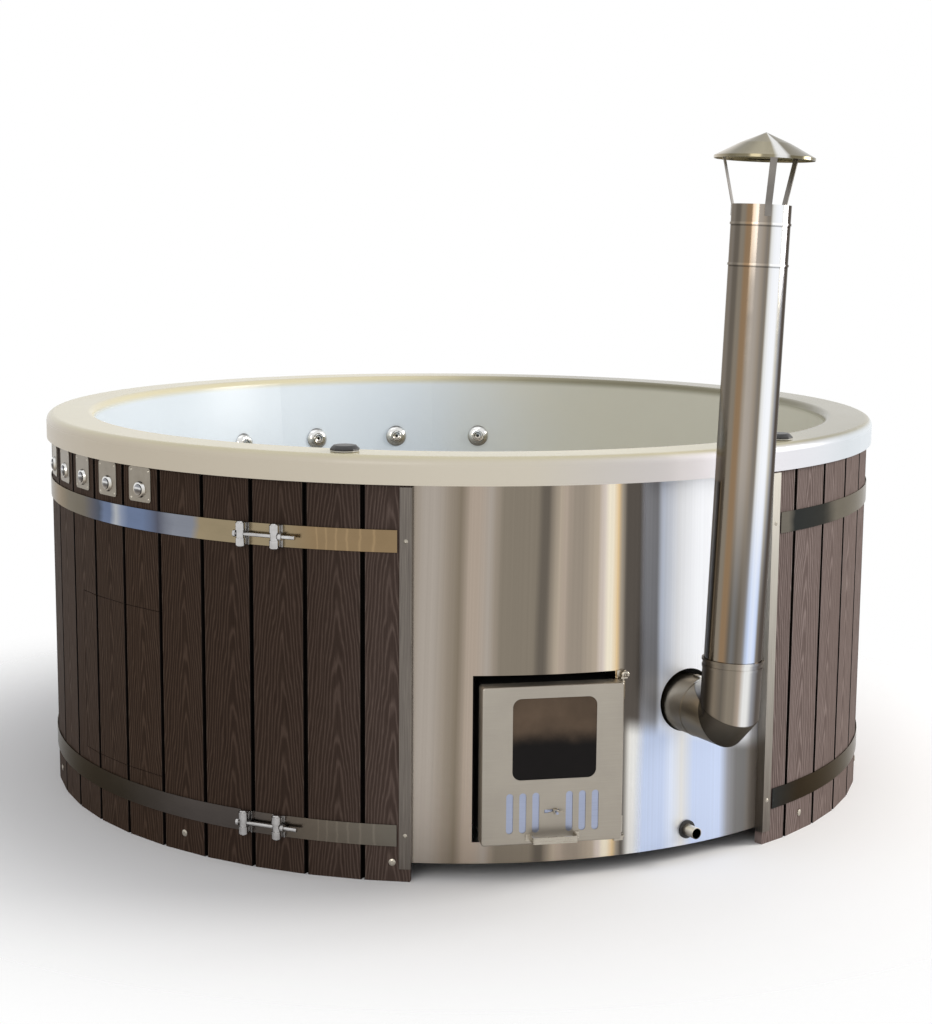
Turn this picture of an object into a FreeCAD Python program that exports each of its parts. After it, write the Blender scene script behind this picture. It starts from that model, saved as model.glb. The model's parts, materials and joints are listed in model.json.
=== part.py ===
"""Round wood-fired hot tub: moulded basin, board cladding, built-in stove, flue and massage fittings.

Frame: origin on the tub's axis at the floor, +Z up, the steel stove panel faces -Y.
An azimuth is counted from the panel's middle, positive to the right as seen from outside.
Pieces on the outside are drawn in a local frame: X to the right, Y up, Z outwards from the tub's axis.
"""
import FreeCAD, Part
import math
import os
import re
from types import SimpleNamespace

import Sketcher

SIZES = {
    # board cladding
    "board_face": 1095, "board_thick": 22, "board_count": 43, "board_groove": 8, "board_joint": 0.6,
    "board_chamfer": 1, "first_gap": 28.25, "last_gap": 29.36, "fit_gap": 0.3, "board_drop": 23,
    # moulded basin
    "rim_top": 968, "lip_drop": 63.5, "lip_overhang": 12, "lip_wall": 6, "shell_wall": 8,
    "rim_round": 20, "rim_inner_round": 18, "rim_width": 122, "wall_lean": 45, "seat_drop": 448,
    "bench_depth": 290, "well_lean": 50, "floor_height": 120, "bench_round": 45,
    "basin_sectors": 12, "first_sector": 17,
    # timber base
    "bearer_width": 45, "bearer_pitch": 400, "bearer_inset": 60, "ring_width": 45, "ring_height": 90,
    "ring_segments": 14, "ring_set": 4.4,
    # steel straps with their clamps
    "strap_lift": 2.2, "strap_thick": 1.5, "strap_height": 50, "strap_drop": 189, "lower_strap": 108,
    "strap_turn": 1.7, "clamp_azimuth": -42.05, "clamp_span": 86, "clamp_stand": 13.5, "clamp_barrel": 20,
    "clamp_barrel_height": 58, "barrel_chamfer": 2, "loop_sheet": 1.5, "loop_slot": 18, "lug_width": 31,
    "lug_height": 50, "lug_plate": 3, "bolt_diameter": 9, "bolt_clearance": 1, "bolt_tail": 40,
    "clamp_washer": 1.6,
    # steel panel and its edge trims
    "panel_setback": 22, "panel_thick": 1.5, "panel_half": 23.6, "panel_bottom": 38,
    "trim_flange": 27, "trim_sheet": 1.5, "trim_bottom": 30, "trim_drop": 5.5, "trim_lift": 1.1,
    "screw_head": 10, "screw_drop": 2.6,
    # fire door
    "door_azimuth": -7.05, "door_stand": 34, "door_width": 325, "door_height": 364, "door_low": 92,
    "door_depth": 40, "door_sheet": 2, "door_round": 6, "door_bend": 4,
    "window_side": 66, "window_head": 27.5, "window_foot": 149.5, "window_shift": 3, "window_round": 20,
    "glass_thick": 5, "glass_lap": 7, "retainer_thick": 2,
    "slot_width": 16, "slot_length": 93, "slot_rise": 73, "slot_inner": 38.7, "slot_pitch": 30,
    "slot_margin": 16, "slide_inset": 6, "slide_lap": 6.5, "slide_thick": 2, "slide_offset": 14.5,
    "slide_slot": 13, "guide_lip": 1.5, "guide_inset": 12, "guide_lap": 4.3, "guide_edge": 3.1,
    "stud_right": 6.6, "stud_lift": 2, "stud_diameter": 6, "stud_reach": 19, "stud_slot": 34,
    "stud_slot_height": 8, "stud_slot_right": -2, "wing_span": 40, "wing_height": 9, "wing_thick": 3,
    "hub_outer": 14, "handle_strip": 3, "handle_tall": 15.5, "handle_rise": 17.2, "handle_feet": 62,
    "handle_bar": 52, "handle_stand": 33, "handle_round": 6,
    "pin_out": 5.9, "pin_set": 37, "pin_diameter": 7, "pin_fit": 0.05, "knuckle_wall": 2,
    "knuckle_length": 40, "bracket_gap": 2, "bracket_thick": 3, "bracket_foot": 16, "hook_out": 12,
    "hook_drop": 8, "hook_bend": 5, "pin_foot": 8, "pin_head": 14, "bracket_half": 8,
    # stove behind the panel
    "stove_wing": 100, "stove_right": 420, "stove_depth": 270, "stove_set": 113, "stove_drop": 2,
    "stove_headroom": 34, "stove_wall": 4, "foot_size": 50, "foot_inset": 70,
    "mouth_inset": 12.5, "mouth_foot": 6, "mouth_head": 8, "mouth_set": 13, "seal_width": 10,
    "grate_rise": 28, "grate_bar": 12, "grate_gap": 14, "grate_ledge": 14, "grate_inset": 12,
    "opening_turn": 0.59, "opening_side": 1.5, "opening_foot": 4, "opening_head": 17.5,
    "circulation_diameter": 60, "circulation_wall": 3, "circulation_spread": 110, "circulation_foot": 94,
    "circulation_drop": 92,
    # flue and rain cap
    "flue_azimuth": 11.35, "flue_drop": 101, "flue_clearance": 15, "flue_hole_rise": 5.5,
    "flue_outer": 133, "flue_sheet": 1.5, "flue_fit": 0.5, "flue_stand": 157, "flue_lean": 2.4,
    "mitre_cut": 22, "socket_rise": 136, "chimney_top": 1515, "bead_height": 5, "bead_stand": 2.5,
    "seam_stand": 1.6, "collar_height": 44, "seam_pitch": 82, "cap_rise": 102, "brim_radius": 109,
    "cone_rise": 52, "crease_lift": 3, "cone_sheet": 1.2, "leg_width": 15, "leg_thick": 2, "leg_inset": 17,
    "leg_azimuth": -14.6, "leg_foot": 25, "brim_lip": 6, "cap_sleeve": 40, "cap_fit": 0.4,
    "flue_tail": 13, "stub_set": 25, "stub_lap": 52, "chimney_tail": 30, "lap_seam": 58,
    "clip_width": 12, "clip_length": 26, "clip_stand": 4, "clip_reach": 24,
    # drain
    "drain_azimuth": 11.7, "drain_level": 76, "drain_outer": 27, "drain_bore": 23, "drain_step": 0.5,
    "drain_reach": 40, "drain_radius": 325, "grommet_outer": 43, "grommet_lip": 5, "sump_outer": 80,
    "sump_wall": 4, "sump_bottom": 56, "sump_notch": 1, "outlet_diameter": 50,
    # control plates and push buttons
    "plate_count": 5, "plate_board": 4, "plate_width": 80, "plate_drop": 2.5, "plate_height": 82,
    "plate_thick": 2, "plate_round": 8, "plate_inset": 8, "button_rise": 29, "bezel_outer": 40,
    "bezel_stand": 5, "button_diameter": 26, "button_stand": 4, "button_travel": 4, "button_fit": 0.4,
    "button_length": 12, "plate_screw": 6, "barrel_outer": 30, "barrel_depth": 42,
    # massage jets
    "jet_count": 4, "jet_middle": 181.95, "jet_pitch": 15.85, "jet_drop": 192, "jet_outer": 66,
    "jet_dome": 9, "jet_lift": 0.9, "jet_nut": 8, "nozzle_diameter": 30, "nozzle_bore": 11,
    "nozzle_fit": 0.4, "nozzle_stand": 7, "jet_body": 44, "water_set": 67.3, "water_pipe": 40,
    "air_set": 21, "air_pipe": 25, "air_rise": 76, "air_stub": 10, "stub_inset": 11,
    "left_knob": -32.3, "right_knob": 28.05, "knob_set": 62, "knob_outer": 68, "knob_height": 15,
    "knob_lobes": 6, "knob_stem": 16, "stem_depth": 40, "lobe_diameter": 20,
    "valve_outer": 40, "valve_flange": 3, "valve_depth": 126,
    # pump behind the service hatch
    "hatch_left": -75.8, "hatch_low": 168, "hatch_high": 567, "hatch_gap": 1.5, "batten_thick": 14,
    "batten_height": 50, "batten_inset": 40, "ledge_height": 30, "ledge_lap": 8, "ledge_overrun": 2,
    "pump_set": 245, "pump_level": 110, "motor_outer": 150, "motor_length": 200, "wet_end_outer": 190,
    "wet_end_length": 70, "pump_port": 50, "pump_azimuth": -66.65, "suction_rise": 50, "riser_rise": 190,
    # screw covers along the foot of the cladding
    "cover_level": 45, "cover_outer": 16, "cover_stand": 3, "cover_pitch": 5, "cover_first": 3,
}

# Sizes that follow from the ones above, so that pieces which meet stay together
FOLLOWING = {
    "strap_radius": "board_face + strap_lift", "panel_radius": "board_face - panel_setback",
    "lip_radius": "board_face + lip_overhang", "basin_radius": "lip_radius - rim_width",
    "seat_radius": "basin_radius - wall_lean", "bench_radius": "seat_radius - bench_depth",
    "well_radius": "bench_radius - well_lean", "bearer_reach": "well_radius - bearer_inset",
    "lip_bottom": "rim_top - lip_drop", "board_top": "rim_top - board_drop",
    "bench_height": "rim_top - seat_drop", "upper_strap": "rim_top - strap_drop",
    "trim_top": "lip_bottom - trim_drop", "strap_end": "panel_half + strap_turn",
    "ring_end": "panel_half + ring_set", "door_plane": "panel_radius + door_stand",
    "window_width": "door_width - 2 * window_side",
    "window_height": "door_height - window_head - window_foot",
    "window_middle": "door_low + window_foot + window_height / 2", "slot_middle": "door_low + slot_rise",
    "slide_low": "slot_middle - slot_length / 2 - slide_lap",
    "slide_high": "slot_middle + slot_length / 2 + slide_lap",
    "stud_level": "slot_middle + stud_lift", "handle_middle": "door_low + handle_rise",
    "pin_right": "door_width / 2 + pin_out", "pin_plane": "door_plane - pin_set",
    "pin_low": "door_low - pin_foot", "pin_high": "door_low + door_height + pin_head",
    "opening_azimuth": "door_azimuth - opening_turn", "opening_half": "door_width / 2 + opening_side",
    "opening_low": "door_low - opening_foot", "opening_high": "door_low + door_height + opening_head",
    "mouth_half": "door_width / 2 - mouth_inset", "mouth_low": "door_low + mouth_foot",
    "guide_half": "mouth_half - seal_width - guide_inset", "slide_half": "guide_half - slide_inset",
    "mouth_high": "door_low + door_height - mouth_head", "mouth_front": "door_plane - mouth_set",
    "stove_left": "mouth_half + stove_wing", "stove_front": "panel_radius - stove_set",
    "stove_back": "stove_front - stove_depth", "stove_bottom": "mouth_low - stove_drop",
    "stove_top": "mouth_high + stove_headroom", "grate_level": "mouth_low + grate_rise",
    "circulation_low": "stove_bottom + circulation_foot", "circulation_high": "stove_top - circulation_drop",
    "flue_level": "stove_top - flue_drop",
    "grate_half": "mouth_half - grate_inset", "flue_hole": "flue_outer + flue_clearance",
    "flue_hole_level": "flue_level + flue_hole_rise", "flue_axis": "panel_radius + flue_stand",
    "chimney_outer": "flue_outer - 2 * flue_sheet - 2 * flue_fit", "socket_top": "flue_level + socket_rise",
    "flue_start": "panel_radius - flue_tail", "stub_start": "stove_front + stub_set",
    "stub_end": "flue_start + stub_lap", "upper_seam": "chimney_top - collar_height",
    "lower_seam": "upper_seam - seam_pitch", "brim_level": "chimney_top + cap_rise",
    "cone_apex": "brim_level + cone_rise", "leg_top_radius": "brim_radius - leg_inset",
    "plate_high": "lip_bottom - plate_drop", "plate_low": "plate_high - plate_height",
    "button_level": "plate_low + button_rise", "jet_level": "rim_top - jet_drop",
    "jet_radius": "seat_radius + (seat_drop - jet_drop) * wall_lean / seat_drop",
    "water_radius": "jet_radius + water_set", "air_radius": "water_radius - air_set",
    "air_level": "jet_level + air_rise", "stub_radius": "air_radius - stub_inset",
    "knob_radius": "lip_radius - knob_set", "valve_bottom": "rim_top - valve_depth",
    "pump_radius": "board_face - pump_set", "suction_level": "pump_level + suction_rise",
    "riser_level": "pump_level + riser_rise",
}

doc = FreeCAD.newDocument("HotTub")
sheet = doc.addObject("Spreadsheet::Sheet", "Sizes")
cells = {alias: str(number) for alias, number in SIZES.items()}
cells.update({alias: f"={formula}" for alias, formula in FOLLOWING.items()})
for row, (alias, content) in enumerate(cells.items(), start=1):
    sheet.set(f"A{row}", alias)
    sheet.setAlias(f"B{row}", alias)
    sheet.set(f"B{row}", content)
doc.recompute()
size = SimpleNamespace(**{alias: float(sheet.get(alias)) for alias in cells})

ALIAS_WORD = re.compile(r"\b(" + "|".join(cells) + r")\b")
UP = FreeCAD.Vector(0, 0, 1)
RIGHT = FreeCAD.Vector(1, 0, 0)
nodes = {}


def bound(formula):
    """The formula with every size's name turned into a reference to its spreadsheet cell."""
    return ALIAS_WORD.sub(r"Sizes.\1", str(formula))


def bind(thing, **formulas):
    """Bind properties of a document object to formulas of the sheet's sizes."""
    for name, formula in formulas.items():
        thing.setExpression(name.replace("__", "."), bound(formula))
    return thing


def turned(azimuth, height=0):
    """Place something that is drawn round the tub's axis with its middle towards -Y."""
    return FreeCAD.Placement(FreeCAD.Vector(0, 0, height), FreeCAD.Rotation(UP, azimuth))


def outward(azimuth):
    """Place something that is drawn in the local frame (right, up, outwards) of that azimuth."""
    return FreeCAD.Placement(
        FreeCAD.Vector(), FreeCAD.Rotation(UP, azimuth).multiply(FreeCAD.Rotation(RIGHT, 90)))


def board_azimuth(index):
    """Middle of a cladding board, counted from the panel's left edge round the back."""
    return -(size.last_gap + (index + 0.5) * board_pitch)


def node(label, thing, placement=None):
    """Register a finished sub-part: its label names its file."""
    thing.Label = label
    if placement is not None:
        thing.Placement = placement
    nodes[label] = thing
    return thing


def shape_node(label, shapes, placement=None):
    """A sub-part that is a group of copies of drawn pieces."""
    group = doc.addObject("Part::Feature", label)
    group.Shape = shapes[0] if len(shapes) == 1 else Part.makeCompound(shapes)
    return node(label, group, placement)


def copied(thing, placement):
    """A copy of a drawn piece's shape, moved by the placement."""
    doc.recompute()
    shape = thing.Shape.copy()
    shape.Placement = placement.multiply(shape.Placement)
    return shape


def box(left, right, low, high, back, front):
    """A block between pairs of formulas along local X, Y and Z."""
    block = doc.addObject("Part::Box", "Block")
    return bind(block, Length=f"({right}) - ({left})", Width=f"({high}) - ({low})",
                Height=f"({front}) - ({back})", Placement__Base__x=left, Placement__Base__y=low,
                Placement__Base__z=back)


def rod(radius, back, front, right=0, level=0):
    """A round bar along local Z."""
    bar = doc.addObject("Part::Cylinder", "Bar")
    return bind(bar, Radius=radius, Height=f"({front}) - ({back})", Placement__Base__x=right,
                Placement__Base__y=level, Placement__Base__z=back)


def cone(radius_back, radius_front, back, front, right=0, level=0):
    """A round taper along local Z."""
    taper = doc.addObject("Part::Cone", "Taper")
    return bind(taper, Radius1=radius_back, Radius2=radius_front, Height=f"({front}) - ({back})",
                Placement__Base__x=right, Placement__Base__y=level, Placement__Base__z=back)


def placed(thing, placement):
    """A drawn piece moved as a whole, with its own bound sizes kept."""
    moved = doc.addObject("Part::Compound", "Moved")
    moved.Links = [thing]
    moved.Placement = placement
    return moved


def fused(*things):
    """Several pieces welded into one."""
    joined = doc.addObject("Part::MultiFuse", "Joined")
    joined.Shapes = list(things)
    joined.Refine = True
    return joined


def cut(base, *tools):
    """A piece with other shapes taken out of it."""
    result = doc.addObject("Part::Cut", "Trimmed")
    result.Base = base
    result.Tool = tools[0] if len(tools) == 1 else fused(*tools)
    return result


def tube(outer_radius, inner_radius, back, front, right=0, level=0):
    """A pipe along local Z whose bore goes right through."""
    return cut(rod(outer_radius, back, front, right, level),
               rod(inner_radius, f"({back}) - 1", f"({front}) + 1", right, level))


def plane_of(body, role):
    """One of the body's own origin planes."""
    return next(item for item in body.Origin.OriginFeatures if item.Role == role)


def outline(body, role, points, offset=None):
    """A closed sketch of straight lines whose corners are formulas from the sketch's axes."""
    sketch = body.newObject("Sketcher::SketchObject", "Outline")
    sketch.AttachmentSupport = [(plane_of(body, role), "")]
    sketch.MapMode = "FlatFace"
    if offset is not None:
        bind(sketch, AttachmentOffset__Base__z=offset)
    count = len(points)
    start = [FreeCAD.Vector(math.cos(2 * math.pi * i / count), math.sin(2 * math.pi * i / count), 0)
             for i in range(count)]
    for i in range(count):
        sketch.addGeometry(Part.LineSegment(start[i], start[(i + 1) % count]))
    for i in range(count):
        sketch.addConstraint(Sketcher.Constraint("Coincident", i, 2, (i + 1) % count, 1))
    for i, corner in enumerate(points):
        for kind, axis, formula in zip(("DistanceX", "DistanceY"), (-2, -1), corner):
            if str(formula) == "0":
                sketch.addConstraint(Sketcher.Constraint("PointOnObject", i, 1, axis))
            else:
                index = sketch.addConstraint(Sketcher.Constraint(kind, -1, 1, i, 1, 1.0))
                sketch.setExpression(f"Constraints[{index}]", bound(formula))
    return sketch


def turned_body(name, points, sweep=None):
    """A body of revolution about Z from (radius, height) formulas, whole or a centred sweep."""
    body = doc.addObject("PartDesign::Body", name)
    sketch = outline(body, "XZ_Plane", points)
    turn = body.newObject("PartDesign::Revolution", "Turn")
    turn.Profile = sketch
    turn.ReferenceAxis = (sketch, ["V_Axis"])
    if sweep is None:
        turn.Angle = 360
    else:
        bind(turn, Angle=sweep)
    doc.recompute()
    return body


def padded_body(name, points, back, front, role="XY_Plane"):
    """A body with a straight-sided outline on one of its planes, thick along the plane's normal."""
    body = doc.addObject("PartDesign::Body", name)
    sketch = outline(body, role, points, back)
    pad = body.newObject("PartDesign::Pad", "Pad")
    pad.Profile = sketch
    bind(pad, Length=f"({front}) - ({back})")
    doc.recompute()
    return body


def rectangle(left, right, low, high):
    """Corner formulas of a rectangle."""
    return [(left, low), (right, low), (right, high), (left, high)]


def round_edges(body, radius, wanted):
    """Round the body's edges that the test picks."""
    doc.recompute()
    base = body.Tip
    names = [f"Edge{i}" for i, edge in enumerate(base.Shape.Edges, start=1) if wanted(edge)]
    fillet = body.newObject("PartDesign::Fillet", "Round")
    fillet.Base = (base, names)
    bind(fillet, Radius=radius)
    doc.recompute()
    return body


def along_depth(edge):
    """True for a straight edge that runs along local Z."""
    ends = [vertex.Point for vertex in edge.Vertexes]
    return len(ends) == 2 and abs(ends[0].x - ends[1].x) + abs(ends[0].y - ends[1].y) < 1e-6


def on_level(depth):
    """A test for an edge that lies at that depth along local Z."""
    def wanted(edge):
        return all(abs(vertex.Z - depth) < 1e-6 for vertex in edge.Vertexes)
    return wanted


def ring_edge(radius, height):
    """A test for the circular edge of that radius and height."""
    def wanted(edge):
        curve = edge.Curve
        return isinstance(curve, Part.Circle) and abs(curve.Radius - radius) < 1e-3 \
            and abs(curve.Center.z - height) < 1e-3
    return wanted


board_pitch = (360 - size.first_gap - size.last_gap) / size.board_count

# Moulded basin: foot-well, bench, wall and rolled rim in one skin
shell = turned_body("Shell", [
    ("0", "floor_height"), ("well_radius", "floor_height"), ("bench_radius", "bench_height"),
    ("seat_radius", "bench_height"), ("basin_radius", "rim_top"), ("lip_radius", "rim_top"),
    ("lip_radius", "lip_bottom"), ("lip_radius - lip_wall", "lip_bottom"),
    ("lip_radius - lip_wall", "rim_top - shell_wall"),
    ("basin_radius + shell_wall", "rim_top - shell_wall"),
    ("seat_radius + shell_wall", "bench_height - shell_wall"),
    ("bench_radius + shell_wall", "bench_height - shell_wall"),
    ("well_radius + shell_wall", "floor_height - shell_wall"), ("0", "floor_height - shell_wall")])
bench_under = size.bench_height - size.shell_wall
floor_under = size.floor_height - size.shell_wall
for corner, level, radius in (
        (size.lip_radius, size.rim_top, "rim_round"),
        (size.lip_radius - size.lip_wall, size.rim_top - size.shell_wall, "rim_round - lip_wall"),
        (size.basin_radius, size.rim_top, "rim_inner_round"),
        (size.bench_radius, size.bench_height, "bench_round"),
        (size.bench_radius + size.shell_wall, bench_under, "bench_round - shell_wall"),
        (size.seat_radius, size.bench_height, "bench_round"),
        (size.seat_radius + size.shell_wall, bench_under, "bench_round + shell_wall"),
        (size.well_radius, size.floor_height, "bench_round"),
        (size.well_radius + size.shell_wall, floor_under, "bench_round + shell_wall")):
    round_edges(shell, radius, ring_edge(corner, level))

# Timber bearers under the foot-well, notched where the drain's cup needs it, and the ring that the
# cladding is screwed to
DRAIN_FRONT = outward(size.drain_azimuth)
drain_at = turned(size.drain_azimuth).multVec(FreeCAD.Vector(0, -size.drain_radius, 0))
DRAIN_DOWN = FreeCAD.Placement(drain_at, FreeCAD.Rotation())
UNDER_FLOOR = "floor_height - shell_wall"
INNER_FACE = "board_face - board_thick"
notch = placed(rod("sump_outer / 2 + sump_notch", "sump_bottom - sump_notch", "floor_height"), DRAIN_DOWN)
bearers = [cut(box(f"{side} * bearer_pitch - bearer_width / 2", f"{side} * bearer_pitch + bearer_width / 2",
                   "-bearer_reach", "bearer_reach", "0", UNDER_FLOOR), notch) for side in (-1, 0, 1)]
ring_segment = turned_body("RingSegment", rectangle(
    f"{INNER_FACE} - fit_gap - ring_width", f"{INNER_FACE} - fit_gap", "0", "ring_height"),
    "(360 - 2 * ring_end) / ring_segments")
segment_turn = (360 - 2 * size.ring_end) / size.ring_segments
shape_node("base_frame", [copied(piece, FreeCAD.Placement()) for piece in bearers]
           + [copied(ring_segment, turned(size.ring_end - 90 + segment_turn * i))
              for i in range(int(size.ring_segments))])

# Cladding boards: a visible groove between faces, closed behind by the wider rear half
PITCH = "((360 - first_gap - last_gap) / board_count)"
FACE_HALF = f"(board_face * tan({PITCH} / 2) - board_groove / 2)"
REAR_HALF = f"(({INNER_FACE}) * tan({PITCH} / 2) - board_joint / 2)"
STEP = "-(board_face - board_thick / 2)"
board = padded_body("Board", [
    (f"board_chamfer - {FACE_HALF}", "-board_face"), (f"{FACE_HALF} - board_chamfer", "-board_face"),
    (FACE_HALF, "board_chamfer - board_face"), (FACE_HALF, STEP), (REAR_HALF, STEP),
    (REAR_HALF, f"-({INNER_FACE})"), (f"-{REAR_HALF}", f"-({INNER_FACE})"), (f"-{REAR_HALF}", STEP),
    (f"-{FACE_HALF}", STEP), (f"-{FACE_HALF}", "board_chamfer - board_face")], "0", "board_top")


def wedge(start, end, low, high):
    """A block between two azimuths, deep enough to part the cladding."""
    near = size.board_face - 2 * size.board_thick
    far = size.board_face + size.board_thick
    sector = Part.makeCylinder(far, high - low, FreeCAD.Vector(0, 0, low), UP, end - start)
    sector = sector.cut(Part.makeCylinder(near, high - low, FreeCAD.Vector(0, 0, low)))
    sector.Placement = turned(start - 90).multiply(sector.Placement)
    return sector


board_cut = size.panel_half + math.degrees((size.trim_sheet + 2 * size.fit_gap) / size.board_face)
panel_gap = wedge(-board_cut, board_cut, -1, size.rim_top)
hatch_right = -(size.last_gap + size.plate_board * board_pitch)
hatch_hole = wedge(size.hatch_left, hatch_right, size.hatch_low, size.hatch_high)
hatch_turn = math.degrees(size.hatch_gap / size.board_face)
hatch_block = wedge(size.hatch_left + hatch_turn, hatch_right - hatch_turn,
                    size.hatch_low + size.hatch_gap, size.hatch_high - size.hatch_gap)
boards = [copied(board, turned(board_azimuth(i))) for i in range(-1, int(size.board_count) + 1)]
fixed_boards = [piece for whole in boards for piece in whole.cut(panel_gap).cut(hatch_hole).Solids]
hatch_pieces = [piece for whole in boards for piece in whole.common(hatch_block).Solids]
shape_node("hatch_boards", hatch_pieces)

# Steel straps
FROM_RIGHT_TRIM = turned(size.strap_end - 90)
for label, level in (("upper_strap", "upper_strap"), ("lower_strap", "lower_strap")):
    strap = turned_body("Strap", rectangle(
        "strap_radius", "strap_radius + strap_thick", f"{level} - strap_height / 2",
        f"{level} + strap_height / 2"), "360 - 2 * strap_end")
    node(label, strap, FROM_RIGHT_TRIM)

# Strap clamps: each strap end loops round an upright barrel, and one bolt draws the two barrels together
STRAP_FACE = "strap_radius + strap_thick + fit_gap"
BOLT_PLANE = f"{STRAP_FACE} + clamp_stand"
BOLT_RADIUS = "bolt_diameter / 2"
LOOP_BORE = "clamp_barrel / 2 + fit_gap"
CLAMP_AXIS = FreeCAD.Rotation(FreeCAD.Vector(0, 1, 0), 90)
UPRIGHT = FreeCAD.Placement(FreeCAD.Vector(), FreeCAD.Rotation(RIGHT, -90))


def upright_rod(radius, low, high, right, plane):
    """A round bar along local Y, at that place to the right and that distance outwards."""
    return placed(rod(radius, low, high, right, f"-({plane})"), UPRIGHT)


def upright_cone(radius_low, radius_high, low, high, plane):
    """A round taper along local Y, at that distance outwards."""
    return placed(cone(radius_low, radius_high, low, high, level=f"-({plane})"), UPRIGHT)


loops = [cut(upright_rod(f"{LOOP_BORE} + loop_sheet", low, high, "0", BOLT_PLANE),
             upright_rod(LOOP_BORE, f"{low} - 1", f"{high} + 1", "0", BOLT_PLANE))
         for low, high in (("loop_slot / 2", "lug_height / 2"), ("-lug_height / 2", "-loop_slot / 2"))]
lug = fused(box("-lug_width / 2", "lug_width / 2", "-lug_height / 2", "lug_height / 2", STRAP_FACE,
                f"{STRAP_FACE} + lug_plate"), *loops)
BARREL_END = "clamp_barrel_height / 2"
BARREL_SIDE = f"{BARREL_END} - barrel_chamfer"
TAPERED = "clamp_barrel / 2 - barrel_chamfer"
bolt_reach = size.strap_radius + size.strap_thick + size.fit_gap + size.clamp_stand
bolt_hole = placed(rod(f"{BOLT_RADIUS} + bolt_clearance / 2", "-clamp_barrel", "clamp_barrel"),
                   FreeCAD.Placement(FreeCAD.Vector(0, 0, bolt_reach), CLAMP_AXIS))
clamp_barrel = cut(fused(
    upright_rod("clamp_barrel / 2", f"-({BARREL_SIDE})", BARREL_SIDE, "0", BOLT_PLANE),
    upright_cone("clamp_barrel / 2", TAPERED, BARREL_SIDE, BARREL_END, BOLT_PLANE),
    upright_cone(TAPERED, "clamp_barrel / 2", f"-({BARREL_END})", f"-({BARREL_SIDE})", BOLT_PLANE)),
    bolt_hole)
lug_turn = math.degrees(math.asin(size.clamp_span / 2 / bolt_reach))
STRAP_LEVELS = (size.upper_strap, size.lower_strap)


def lifted(placement, level):
    """The placement moved up to that level."""
    return FreeCAD.Placement(FreeCAD.Vector(0, 0, level), FreeCAD.Rotation()).multiply(placement)


for label, piece in (("strap_lugs", lug), ("clamp_barrels", clamp_barrel)):
    shape_node(label, [copied(piece, lifted(outward(size.clamp_azimuth + side * lug_turn), level))
                       for level in STRAP_LEVELS for side in (-1, 1)])
BOLT_END = "clamp_span / 2 + clamp_barrel / 2 + clamp_washer"
bolt = fused(rod(BOLT_RADIUS, f"-({BOLT_END})", f"{BOLT_END} + bolt_tail"),
             rod("bolt_diameter * 0.9", f"-({BOLT_END}) - bolt_diameter * 0.7", f"-({BOLT_END})"))
nut = tube("bolt_diameter * 0.9", f"{BOLT_RADIUS} + pin_fit", BOLT_END, f"{BOLT_END} + bolt_diameter * 0.8")
bolt_line = FreeCAD.Placement(
    FreeCAD.Vector(0, 0, bolt_reach * math.cos(math.radians(lug_turn))), CLAMP_AXIS)
shape_node("clamp_bolts", [copied(piece, lifted(outward(size.clamp_azimuth), level).multiply(bolt_line))
                           for level in STRAP_LEVELS for piece in (bolt, nut)])

# Stainless panel in front of the stove, set back between the ends of the cladding
panel = turned_body("Panel", rectangle(
    "panel_radius - panel_thick", "panel_radius", "panel_bottom", "rim_top - shell_wall - fit_gap"),
    "2 * panel_half")
panel.Placement = turned(-size.panel_half - 90)
door_hole = box("-opening_half", "opening_half", "opening_low", "opening_high",
                "panel_radius - 2 * door_depth", "panel_radius + door_depth")
flue_hole = rod("flue_hole / 2", "panel_radius - door_depth", "panel_radius + door_depth",
                level="flue_hole_level")
drain_hole = rod("grommet_outer / 2 - grommet_lip", "panel_radius - door_depth", "panel_radius + door_depth",
                 level="drain_level")
node("front_panel", cut(panel, placed(door_hole, outward(size.opening_azimuth)),
                        placed(flue_hole, outward(size.flue_azimuth)),
                        placed(drain_hole, outward(size.drain_azimuth))))

# Edge trims: an angle strip that covers each cut end of the cladding
trims = []
trim_screws = []
for side in (-1, 1):
    inner, middle, outer = "fit_gap", "fit_gap + trim_sheet", "fit_gap + trim_flange"
    ends = (inner, middle) if side > 0 else (f"-({middle})", f"-({inner})")
    flange = (inner, outer) if side > 0 else (f"-({outer})", f"-({inner})")
    strip = fused(box(*ends, "trim_bottom", "trim_top", "panel_radius + fit_gap",
                      "board_face + trim_lift + trim_sheet"),
                  box(*flange, "trim_bottom", "trim_top", "board_face + trim_lift",
                      "board_face + trim_lift + trim_sheet"))
    trims.append(copied(strip, outward(side * size.panel_half)))
    for level in ("upper_strap", "lower_strap"):
        head = cone("screw_head / 2", "screw_head / 4", "board_face + trim_lift + trim_sheet",
                    "board_face + trim_lift + trim_sheet + screw_drop", f"{side} * trim_flange / 2", level)
        trim_screws.append(copied(head, outward(side * size.panel_half)))
shape_node("edge_trims", trims)
shape_node("trim_screws", trim_screws)

# Screw covers along the foot of the cladding
cover = fused(rod("cover_outer / 2", "board_face", "board_face + cover_stand / 2", level="cover_level"),
              cone("cover_outer / 2", "cover_outer / 4", "board_face + cover_stand / 2",
                   "board_face + cover_stand", level="cover_level"))
cover_boards = [-1] + list(range(int(size.cover_first), int(size.board_count), int(size.cover_pitch))) \
    + [int(size.board_count) - 1]
shape_node("screw_covers", [copied(cover, outward(board_azimuth(i))) for i in cover_boards])

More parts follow.
